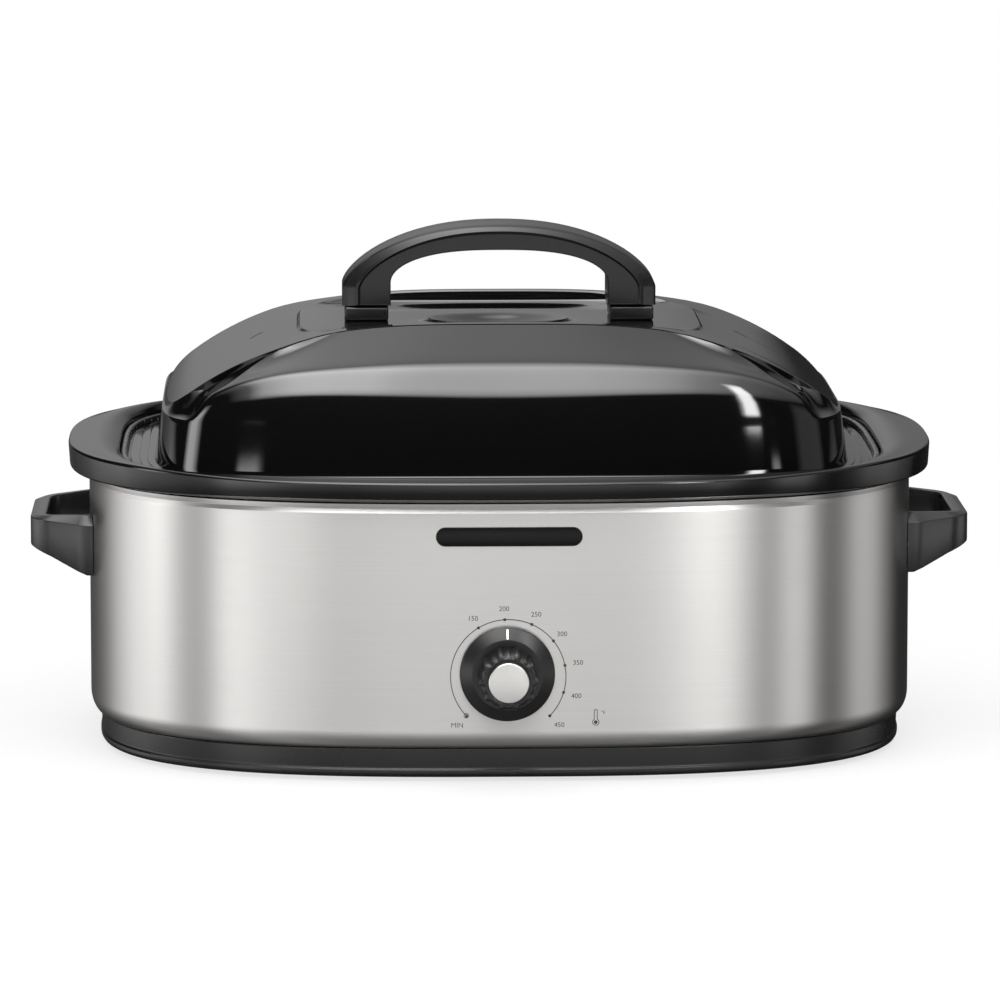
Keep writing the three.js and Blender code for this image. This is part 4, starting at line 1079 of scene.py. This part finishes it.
grip = {
    "reach": 36 * mm,
    "halfLengthOuter": 47 * mm,
    "halfLengthInner": 62 * mm,
    "barThickness": 10 * mm,
    "armThickness": 9 * mm,
    "barTop": 141.5 * mm,
    "barBottom": 122 * mm,
    "rootTop": 143.5 * mm,
    "rootBottom": 106.5 * mm,
    "corner": 17 * mm,
    "cornerSteps": 10,
    "edge": 1.2 * mm,
    "chamferWidth": 4.5 * mm,
    "chamferBar": 1.6 * mm,
    "chamferRoot": 6 * mm,
    "rootGap": 0.4 * mm,
    "rootStart": 0.5 * mm,
    "rootRun": 2 * mm,
    "rootBend": 20 * mm,
    "splay": 1 * mm,
}


def gripPath():
    inset = grip["armThickness"] / 2
    outerX = plan["halfWidth"] + grip["reach"] - grip["barThickness"] / 2
    rootX = plan["halfWidth"] + grip["rootRun"]
    innerY = grip["halfLengthInner"] - inset
    outerY = grip["halfLengthOuter"] + grip["splay"] - inset
    bendY = innerY - grip["splay"] / 2
    startX = bodyWidth(innerY) + grip["rootStart"]
    half = [(startX, innerY, 0), (rootX, bendY, grip["rootBend"]), (outerX, outerY, grip["corner"])]
    return rounded([(x, -y, radius) for x, y, radius in half] + half[::-1], steps=grip["cornerSteps"])


# The section of a handle arm, with a long chamfer on its outer upper edge
def armSection(width, height, chamfer):
    right, top, radius = width / 2, height / 2, grip["edge"]
    corners = [(-right, -top, radius), (right, -top, radius), (right, top - chamfer, radius / 2),
               (right - grip["chamferWidth"], top, radius / 2), (-right, top, radius)]
    return rounded(corners, closed=True, steps=3)


def makeSideHandles():
    path = gripPath()
    barRun = grip["reach"] - grip["barThickness"] / 2
    for side, sign in (("Right", 1), ("Left", -1)):
        rings = []
        for index, spot in enumerate(path):
            along = path[min(index + 1, len(path) - 1)] - path[max(index - 1, 0)]
            out = Vector((along.y, -along.x)).normalized()
            share = min(max((spot.x - plan["halfWidth"]) / barRun, 0), 1)
            top = mix(grip["rootTop"], grip["barTop"], share)
            bottom = mix(grip["rootBottom"], grip["barBottom"], share)
            width = mix(grip["armThickness"], grip["barThickness"], share)
            chamfer = mix(grip["chamferRoot"], grip["chamferBar"], share)
            section = []
            for point in armSection(width, top - bottom, chamfer):
                x, y = spot + out * point.x
                if index in (0, len(path) - 1):
                    x = bodyWidth(y) + grip["rootGap"]
                section.append(Vector((sign * x, y + middleY, (top + bottom) / 2 + point.y)))
            rings.append(section)
        piece = drawRings("sideHandle" + side, rings, "filled", 35)
        finishPiece(piece, "base", "handle_black", handlePlastic, "side_handle_" + side.lower())


makeSideHandles()
print("side handles are done")


# Control knob: a wide skirt, a lobed grip, a bright cap and a pointer line

knobLow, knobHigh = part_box("control_knob")
knob = {
    "back": knobHigh.y,
    "front": knobLow.y,
    "height": (knobLow.z + knobHigh.z) / 2,
    "skirtRadius": 28.5 * mm,
    "skirtThickness": 3.2 * mm,
    "skirtCone": 3 * mm,
    "gripRadius": 18.2 * mm,
    "gripTaper": 0.8 * mm,
    "gripShares": (0.0, 0.03, 0.3, 0.6, 0.85),
    "lobeDepth": 1.7 * mm,
    "lobes": 10,
    "groovePower": 1.6,
    "lobeShare": 0.25,
    "edge": 2 * mm,
    "edgeSteps": 6,
    "capRadius": 12.1 * mm,
    "capSink": 0.8 * mm,
    "capGap": 0.3 * mm,
    "capSides": 96,
    "sides": 240,
    "markWidth": 1 * mm,
    "markLength": 5.5 * mm,
    "markInset": 1.2 * mm,
    "markLift": 0.15 * mm,
    "markDepth": 0.6 * mm,
}


def knobRing(radius, forward, lobe=0.0):
    spots = []
    for side in range(knob["sides"]):
        turn = 2 * math.pi * side / knob["sides"]
        wave = math.cos(knob["lobes"] * turn)
        sunk = 1 - abs(wave) ** knob["groovePower"] if wave < 0 else 1 - wave * knob["lobeShare"]
        reach = radius - lobe * sunk
        spots.append(Vector((reach * math.sin(turn), knob["back"] - forward,
                             knob["height"] + reach * math.cos(turn))))
    return spots


def makeKnob():
    skirt, radius, edge = knob["skirtThickness"], knob["skirtRadius"], knob["edge"]
    stem, taper, lobe = knob["gripRadius"], knob["gripTaper"], knob["lobeDepth"]
    length = knob["back"] - knob["front"]
    gripBottom = skirt + knob["skirtCone"]
    skirtLine = rounded([
        (0.5 * mm, 0, 0),
        (radius, 0, 0.5 * mm),
        (radius, skirt, 1.2 * mm),
        (stem + knob["skirtCone"], gripBottom, 1 * mm),
        (stem + 0.2 * mm, gripBottom, 0),
    ], steps=5)
    rings = [knobRing(spot.x, spot.y) for spot in skirtLine]
    for share in knob["gripShares"]:
        rings.append(knobRing(stem - taper * share, mix(gripBottom, length, share), lobe))
    for sine, cosine in quarterCircle(knob["edgeSteps"]):
        rings.append(knobRing(stem - taper - edge * (1 - cosine), length - edge * (1 - sine), lobe))
    cap, gap, sunk = knob["capRadius"], knob["capGap"], length - knob["capSink"]
    for reach, forward in ((cap + gap + 1.1 * mm, length), (cap + gap + 0.2 * mm, length - gap),
                           (cap + gap, sunk), (1 * mm, sunk)):
        rings.append(knobRing(reach, forward))
    piece = drawRings("controlKnob", rings, "point", 35)
    finishPiece(piece, "knob", "knob_black", knobPlastic, "control_knob")


def makeKnobCap():
    low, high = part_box("knob_cap")
    radius, thick = knob["capRadius"] / mm, (high.y - low.y) / mm
    corners = [(0.4, 0, 0), (radius, 0, 0.2), (radius, thick, 0.7), (0.4, thick, 0)]
    rings = spunRings(corners, Vector((0, high.y, knob["height"])), Vector((0, -1, 0)), knob["capSides"], 4)
    piece = drawRings("knobCap", rings, "point", 30)
    finishPiece(piece, "knob", "cap_steel", capSteel, "knob_cap")


# The pointer line lies on the cone of the skirt
def makeKnobMark():
    radius, cone = knob["skirtRadius"], knob["skirtCone"]
    outer = radius - knob["markInset"]
    inner = outer - knob["markLength"]
    slope = cone / (radius - knob["gripRadius"] - cone)
    rings = []
    for side in (-1, 1):
        corners = []
        for reach, depth in ((outer, 0), (inner, 0), (inner, knob["markDepth"]), (outer, knob["markDepth"])):
            forward = knob["skirtThickness"] + slope * (radius - reach) + knob["markLift"] - depth
            corners.append(Vector((side * knob["markWidth"] / 2, knob["back"] - forward,
                                   knob["height"] + reach)))
        rings.append(corners)
    piece = drawRings("knobMark", rings, "filled", 20)
    finishPiece(piece, "knob", "cap_steel", capSteel)


makeKnob()
makeKnobCap()
makeKnobMark()
print("knob is done")


# Dial: a printed arc with ticks and plain numbers, on the steel behind the knob

dial = {
    "radius": 34.5 * mm,
    "line": 0.55 * mm,
    "start": -133.2,
    "end": 134.9,
    "tick": 1.6 * mm,
    "textSize": 4.2 * mm,
    "textRadius": 41 * mm,
    "wideTextRadius": 42.5 * mm,
    "wideFrom": 60,
    "numbers": {-134: "MIN", -31: "150", -3.5: "200", 24: "250", 51.5: "300", 79: "350", 106.5: "400",
                134: "450"},
    "lowRadius": 1.3 * mm,
    "lowLine": 0.5 * mm,
    "lift": 0.08 * mm,
    "x": 0.6 * mm,
    "z": 65 * mm,
}

# The thermometer sign beside the dial
sign = {
    "x": 53 * mm,
    "top": 43.8 * mm,
    "low": 37 * mm,
    "bulb": 1.9 * mm,
    "stem": 0.9 * mm,
    "line": 0.45 * mm,
    "stemFoot": 38.52 * mm,
    "fill": 0.57 * mm,
    "fillLine": 1.1 * mm,
    "textX": 57.4 * mm,
    "textZ": 42.6 * mm,
    "textSize": 3.1 * mm,
}


def onSteel(x, z, lift):
    return Vector((x, middleY - bodyDepth(x) - lift, z))


def arcBand(name, centre, radius, width, start, end, steps):
    near, far, lift = radius - width / 2, radius + width / 2, dial["lift"]
    rings = []
    for step in range(steps + 1):
        turn = math.radians(mix(start, end, step / steps))
        rings.append([onSteel(centre[0] + reach * math.sin(turn), centre[1] + reach * math.cos(turn), up)
                      for reach, up in ((near, lift), (far, lift), (far, 0), (near, 0))])
    return drawRings(name, rings, "filled", 30)


def printedText(words, x, z, size):
    selectOnly()
    bpy.ops.object.text_add(location=(0, 0, 0))
    text = bpy.context.object
    text.data.body = words
    text.data.size = size
    text.data.align_x = text.data.align_y = "CENTER"
    text.data.extrude = dial["lift"] / 2
    text.data.resolution_u = 3
    bpy.ops.object.convert(target="MESH")
    text = bpy.context.object
    for vert in text.data.vertices:
        vert.co = onSteel(x + vert.co.x, z + vert.co.y, dial["lift"] / 2 + vert.co.z)
    return text


def thermometer():
    x, top, low = sign["x"], sign["top"], sign["low"]
    bulb, stem, line = sign["bulb"], sign["stem"], sign["line"]
    lean = math.degrees(math.asin(stem / bulb))
    parts = []
    for middle in (x - stem, x + stem):
        left, right, lift = middle - line / 2, middle + line / 2, dial["lift"]
        rings = [[onSteel(across, height, up)
                  for across, up in ((left, 0), (right, 0), (right, lift), (left, lift))]
                 for height in (sign["stemFoot"], top)]
        parts.append(drawRings("signStem", rings, "filled", 30))
    return parts + [
        arcBand("signTop", (x, top), stem, line, -90, 90, 10),
        arcBand("signBulb", (x, low), bulb, line, lean, 360 - lean, 24),
        arcBand("signFill", (x, low), sign["fill"], sign["fillLine"], 0.5, 359.5, 20),
        printedText("\u00b0F", sign["textX"], sign["textZ"], sign["textSize"]),
    ]


def makeDial():
    centre, radius = (dial["x"], dial["z"]), dial["radius"]

    def around(angle, reach):
        turn = math.radians(angle)
        return centre[0] + reach * math.sin(turn), centre[1] + reach * math.cos(turn)

    parts = [arcBand("dialArc", centre, radius, dial["line"], dial["start"], dial["end"], 120)]
    spread = math.degrees(dial["tick"] / 2 / radius)
    for angle, words in dial["numbers"].items():
        parts.append(arcBand("dialTick", centre, radius, dial["tick"], angle - spread, angle + spread, 4))
        reach = dial["wideTextRadius"] if abs(angle) > dial["wideFrom"] else dial["textRadius"]
        parts.append(printedText(words, *around(angle, reach), dial["textSize"]))
    parts.append(arcBand("dialLow", around(dial["start"], radius), dial["lowRadius"], dial["lowLine"],
                         2, 358, 24))
    piece = joinPieces(parts + thermometer(), "dialPrint")
    finishPiece(piece, "base", "badge_black", printInk)


makeDial()


# Blank badge: a plain black plate with round ends, bent to the steel

badgeLow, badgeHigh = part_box("blank_badge")
badge = {
    "length": badgeHigh.x - badgeLow.x + 1.6 * mm,
    "width": badgeHigh.z - badgeLow.z,
    "thickness": 0.8 * mm,
    "gap": 0.1 * mm,
    "edge": 0.5 * mm,
    "edgeSteps": 4,
    "endSteps": 16,
    "sideSteps": 12,
    "x": (badgeLow.x + badgeHigh.x) / 2 + 1.2 * mm,
    "z": (badgeLow.z + badgeHigh.z) / 2,
}


def pillPoints(inset, lift):
    half = (badge["width"] - inset) / 2
    reach = (badge["length"] - inset) / 2 - half
    points = []
    for side in (1, -1):
        for step in range(badge["endSteps"] + 1):
            turn = math.pi * (step / badge["endSteps"] - 0.5)
            points.append((side * (reach + half * math.cos(turn)), side * half * math.sin(turn)))
        for step in range(1, badge["sideSteps"]):
            points.append((side * reach * (1 - 2 * step / badge["sideSteps"]), side * half))
    return [onSteel(badge["x"] + x, badge["z"] + z, lift) for x, z in points]


def makeBadge():
    edge = badge["edge"]
    shoulder = badge["gap"] + badge["thickness"] - edge
    rings = [pillPoints(0, badge["gap"])]
    for sine, cosine in quarterCircle(badge["edgeSteps"]):
        rings.append(pillPoints(edge * (1 - cosine) * 2, shoulder + edge * sine))
    piece = drawRings("blankBadge", rings, "filled", 30)
    finishPiece(piece, "base", "badge_black", badgeGloss, "blank_badge")


makeBadge()
print("dial and badge are done")


# Cord bush in the back

bush = {
    "corners": [(3.8, -5, 0), (6.5, -5, 0.5), (6.5, 1, 0), (10, 1, 0.8), (10, 3.2, 1), (7.6, 4.6, 0.8),
                (3.8, 4.6, 0.8)],
    "sides": 64,
}


def makeCordBush():
    low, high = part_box("cord_gland")
    rings = spunRings(bush["corners"], (low + high) / 2, Vector((0, 1, 0)), bush["sides"], 4)
    piece = drawRings("cordBush", rings, "hoop", 35)
    finishPiece(piece, "base", "soft_rubber", softRubber, "cord_gland")


makeCordBush()


# Roasting rack of welded wire

rack = {
    "wire": 5 * mm,
    "halfLength": 168 * mm,
    "halfWidth": 118 * mm,
    "corner": 34 * mm,
    "bars": 9,
    "legGap": 0.3 * mm,
    "legHeight": 9 * mm,
    "legInset": 46 * mm,
    "loopHeight": 34 * mm,
    "loopHalfWidth": 38 * mm,
    "loopCorner": 16 * mm,
}


def wire(points, closed, name):
    curve = bpy.data.curves.new(name, "CURVE")
    curve.dimensions = "3D"
    curve.bevel_depth = rack["wire"] / 2
    curve.bevel_resolution = 3
    curve.use_fill_caps = True
    spline = curve.splines.new("POLY")
    spline.points.add(len(points) - 1)
    for point, place in zip(spline.points, points):
        point.co = (*place, 1)
    spline.use_cyclic_u = closed
    bent = bpy.data.objects.new(name, curve)
    bpy.context.scene.collection.objects.link(bent)
    selectOnly(bent)
    bpy.ops.object.convert(target="MESH")
    bpy.ops.object.shade_smooth()
    return bpy.context.object


def makeRack():
    level = pan["bottom"] + rack["legGap"] + rack["legHeight"] + rack["wire"] / 2
    under = level - rack["wire"] / 2
    long, wide, corner = rack["halfLength"], rack["halfWidth"], rack["corner"]
    outline = rounded([(long, wide, corner), (-long, wide, corner), (-long, -wide, corner),
                       (long, -wide, corner)], True, 10)
    wires = [wire([(spot.x, spot.y + middleY, level) for spot in outline], True, "rackFrame")]
    for index in range(rack["bars"]):
        x = (long - corner) * (2 * index / (rack["bars"] - 1) - 1)
        wires.append(wire([(x, middleY - wide, under), (x, middleY + wide, under)], False, "rackBar"))
    half, up, bend = rack["loopHalfWidth"], rack["loopHeight"], rack["loopCorner"]
    loop = rounded([(-half, 0, 0), (-half, up, bend), (half, up, bend), (half, 0, 0)], False, 8)
    for side in (-1, 1):
        y = middleY + side * wide / 2
        wires.append(wire([(-long, y, level), (long, y, level)], False, "rackRunner"))
        for end in (-1, 1):
            x = end * (long - rack["legInset"])
            wires.append(wire([(x, y, under - rack["legHeight"]), (x, y, level)], False, "rackLeg"))
        points = [(side * long, spot.x + middleY, level + spot.y) for spot in loop]
        wires.append(wire(points, False, "rackLoop"))
    piece = joinPieces(wires, "roastingRack")
    finishPiece(piece, "rack", "rack_chrome", rackChrome, "roasting_rack")


makeRack()
print("cord bush and rack are done")


# Finishes of the inner parts, which keep their own shapes

innerFinishes = {
    "base_screw": bareSteel,
    "heater_band": heaterFoil,
    "insulation": feltBlanket,
    "heat_shield": aluminised,
    "centre_tie": bareSteel,
    "tie_nut": bareSteel,
    "thermostat_body": mouldedBoard,
    "thermostat": bareSteel,
    "sensor_pad": aluminised,
    "terminal_block": mouldedBoard,
    "handle_": bareSteel,
    "lid_washer": bareSteel,
    "lid_screw": bareSteel,
}


def dressInnerParts():
    for name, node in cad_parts.items():
        for start, finish in innerFinishes.items():
            if name.startswith(start):
                node.material_slots[0].material = finish
                break


dressInnerParts()


# Studio: a pale floor, a white world and soft lamps. Shiny surfaces see softboxes and dark flags

studio = {
    "floorSize": 60,
    "floorTone": 0.9,
    "floorRoughness": 0.9,
    "floorGlow": 0.72,
    "floorFade": (0.45, 1.1),
    "worldFill": 0.62,
    "horizonGain": 1.35,
    "overheadGain": 7.5,
    "frontShade": 0.01,
}

# Brightness of the horizon by degrees from the camera towards the right. The levels were tuned with a
# scratch script that set the tones of the steel in a render against those in the photo
horizon = [
    (-158, 0.06), (-146, 0.14), (-136, 0.29), (-117, 0.99), (-104, 1.48), (-86, 1.14), (-77, 1.02),
    (-66, 0.76), (-57, 0.85), (-49, 2.4), (-38, 1.92), (-29, 1.04), (-18, 0.79), (-10, 1.03), (-2, 1.17),
    (8, 1.07), (18, 0.94), (27, 1.1), (33, 1.56), (38, 0.67), (43, 0.25), (48, 0.52), (53, 1.58),
    (61, 1.4), (67, 0.3), (74, 0.02), (84, 0.26), (95, 0.82), (108, 0.73), (122, 0.25), (138, 0.01),
    (180, 0.02),
]

# How the parts of the world fade, each as (place, share). The places are sines of the elevation, with
# 1 added in groundUp and 0.5 in edgeUp, or how far back, or from 0 at the left to 1 at the right
fades = {
    "groundUp": [(0.0, 0.1), (0.45, 0.1), (0.67, 0.14), (0.79, 0.8), (0.86, 1.0)],
    "edgeUp": [(0.49, 0.0), (0.53, 1.0)],
    "overheadUp": [(0.0, 0.0), (0.4, 0.004), (0.46, 0.7), (0.53, 0.95), (0.6, 1.0)],
    "overheadSideways": [(0.15, 0.0), (0.25, 0.15), (0.31, 0.6), (0.41, 0.95), (0.45, 1.0), (0.5, 0.97),
                         (0.515, 0.74), (0.585, 0.38), (0.685, 0.2), (0.85, 0.1), (1.0, 0.05)],
    "backdropUp": [(0.0, 0.3), (0.145, 0.42), (0.45, 0.8), (0.72, 1.0), (0.9, 1.1)],
    "backdropSideways": [(0.3, 0.0), (0.39, 1.0), (0.49, 1.0), (0.545, 0.65), (0.7, 0.4), (0.8, 0.0)],
    "behindHigh": [(0.2, 0.0), (0.4, 0.5), (0.57, 1.0)],
    "behindLow": [(0.9, 0.0), (0.965, 1.0)],
    "highUp": [(0.15, 0.0), (0.4, 1.0)],
}

# Softboxes that show as bright patches: azimuth in degrees, height as the sine of the elevation
softboxes = {
    "right": {"azimuths": (22, 24, 29, 31), "heights": (0.165, 0.19, 0.6, 0.75), "level": 14.0},
    "leftPatch": {"azimuths": (-33, -30, -22, -19), "heights": (0.0, 0.04, 0.125, 0.15), "level": 3.6},
    "leftStreak": {"azimuths": (-98, -90, -82, -72), "heights": (0.0, 0.05, 0.3, 0.46), "level": 4.2},
    "rightLow": {"azimuths": (34, 36, 39, 41), "heights": (0.0, 0.03, 0.13, 0.145), "level": 2.6},
    "farRight": {"azimuths": (56, 64, 90, 100), "heights": (0.0, 0.05, 0.25, 0.4), "level": 0.35},
}


def makeFloor():
    selectOnly()
    bpy.ops.mesh.primitive_plane_add(size=studio["floorSize"], location=(0, 0, 0))
    floor = bpy.context.object
    floor.name = "studioFloor"
    floor.visible_glossy = False
    paper = newFinish("studioPaper")
    nodes = paper.tree.nodes
    paper.surface({"Base Color": colour(studio["floorTone"]), "Roughness": studio["floorRoughness"],
                   "Specular IOR Level": 0.0})
    spots = paper.node("ShaderNodeTexCoord", output="Object")
    away = paper.node("ShaderNodeVectorMath", {"operation": "LENGTH"}, {0: spots}, "Value")
    near, far = studio["floorFade"]
    fade = paper.node("ShaderNodeMapRange", {"interpolation_type": "SMOOTHSTEP"}, {
        "Value": away, "From Min": near, "From Max": far, "To Min": studio["floorGlow"], "To Max": 1.0})
    seen = paper.node("ShaderNodeLightPath", output="Is Camera Ray")
    glow = paper.node("ShaderNodeEmission", {}, {"Color": colour(1.0), "Strength": 1.0})
    lit = Signal(paper, nodes["Principled BSDF"].outputs[0])
    mixed = paper.node("ShaderNodeMixShader", {}, {0: seen * fade, 1: lit, 2: glow})
    paper.feed(nodes["Material Output"].inputs["Surface"], mixed)
    floor.data.materials.append(paper.owner)


def turnShare(degrees):
    return 0.5 + degrees / 360


def makeWorld():
    world = bpy.data.worlds.new("studioWorld")
    bpy.context.scene.world = world
    sky = Recipe(world)

    def background(strength):
        return sky.node("ShaderNodeBackground", {}, {"Color": colour(1.0), "Strength": strength})

    def lightPath(kind):
        return sky.node("ShaderNodeLightPath", output=kind)

    direction = sky.node("ShaderNodeTexCoord", output="Generated")
    sideways, backwards, upwards = (sky.node("ShaderNodeSeparateXYZ", {}, {0: direction}, axis)
                                    for axis in "XYZ")
    across = sideways * 0.5 + 0.5
    turn = sideways.maths("ARCTAN2", sideways, backwards * -1.0) * (0.5 / math.pi) + 0.5

    around = sky.ramp(turn, [(turnShare(degrees), level) for degrees, level in horizon])
    ground = around * sky.ramp(upwards + 1.0, fades["groundUp"]) * studio["horizonGain"]

    overhead = sky.ramp(upwards, fades["overheadUp"]) * sky.ramp(across, fades["overheadSideways"])
    overhead = overhead * studio["overheadGain"] + studio["frontShade"]
    backdrop = sky.ramp(upwards, fades["backdropUp"]) * sky.ramp(across, fades["backdropSideways"])
    high = sky.ramp(upwards, fades["highUp"])
    behind = sky.ramp(backwards, fades["behindHigh"]) * high
    behind = behind + sky.ramp(backwards, fades["behindLow"]) * (1.0 - high)
    above = overhead * (1.0 - behind) + backdrop * behind
    for box in softboxes.values():
        edges = zip([turnShare(degrees) for degrees in box["azimuths"]], (0.0, 1.0, 1.0, 0.0))
        wide = sky.ramp(turn, list(edges))
        tall = sky.ramp(upwards, list(zip(box["heights"], (0.0, 1.0, 1.0, 0.0))))
        above = above + wide * tall * box["level"]
    isAbove = sky.ramp(upwards + 0.5, fades["edgeUp"])
    mirrored = background(ground * (1.0 - isAbove) + above * isAbove)

    shaded = sky.node("ShaderNodeMixShader", {}, {
        0: lightPath("Is Glossy Ray"), 1: background(studio["worldFill"]), 2: mirrored})
    direct = lightPath("Is Camera Ray") + lightPath("Is Transmission Ray")
    whole = sky.node("ShaderNodeMixShader", {}, {0: direct, 1: shaded, 2: background(1.0)})
    sky.feed(sky.tree.nodes["World Output"].inputs["Surface"], whole)


lamps = {
    "overhead": {"place": (0, -0.5, 1.75), "aim": (0, 0, 0.2), "size": (2.4, 1.9), "power": 26},
    "side": {"place": (-2.4, -1.8, 1.2), "aim": (0, 0, 0.2), "size": (1.4, 1.4), "power": 16},
    "back": {"place": (0.6, 3.0, 1.6), "aim": (0, 0, 0.15), "size": (3.0, 1.6), "power": 22},
}


def makeLamps():
    for name, lamp in lamps.items():
        light = bpy.data.lights.new(name, "AREA")
        light.shape = "RECTANGLE"
        light.size, light.size_y = lamp["size"]
        light.energy = lamp["power"]
        holder = bpy.data.objects.new(name, light)
        holder.location = lamp["place"]
        holder.visible_glossy = False
        direction = Vector(lamp["aim"]) - Vector(lamp["place"])
        holder.rotation_euler = direction.to_track_quat("-Z", "Y").to_euler()
        bpy.context.scene.collection.objects.link(holder)


view = {
    "distance": 4.2,
    "height": 0.7585,
    "azimuth": -1.6,
    "pitch": 8.33,
    "lens": 245.0,
    "sensor": 36,
    "shiftX": 0.0017,
    "clipEnd": 100,
}


def makeCamera():
    camera = bpy.data.cameras.new("photoCamera")
    camera.lens = view["lens"]
    camera.sensor_width = view["sensor"]
    camera.sensor_fit = "HORIZONTAL"
    camera.shift_x = view["shiftX"]
    camera.clip_end = view["clipEnd"]
    holder = bpy.data.objects.new("photoCamera", camera)
    turn = math.radians(view["azimuth"])
    holder.location = (view["distance"] * math.sin(turn),
                       middleY - view["distance"] * math.cos(turn), view["height"])
    holder.rotation_euler = (math.radians(90 - view["pitch"]), 0, turn)
    bpy.context.scene.collection.objects.link(holder)
    bpy.context.scene.camera = holder


makeFloor()
makeWorld()
makeLamps()
makeCamera()
bpy.context.scene.view_settings.view_transform = "Standard"
print("studio is set")
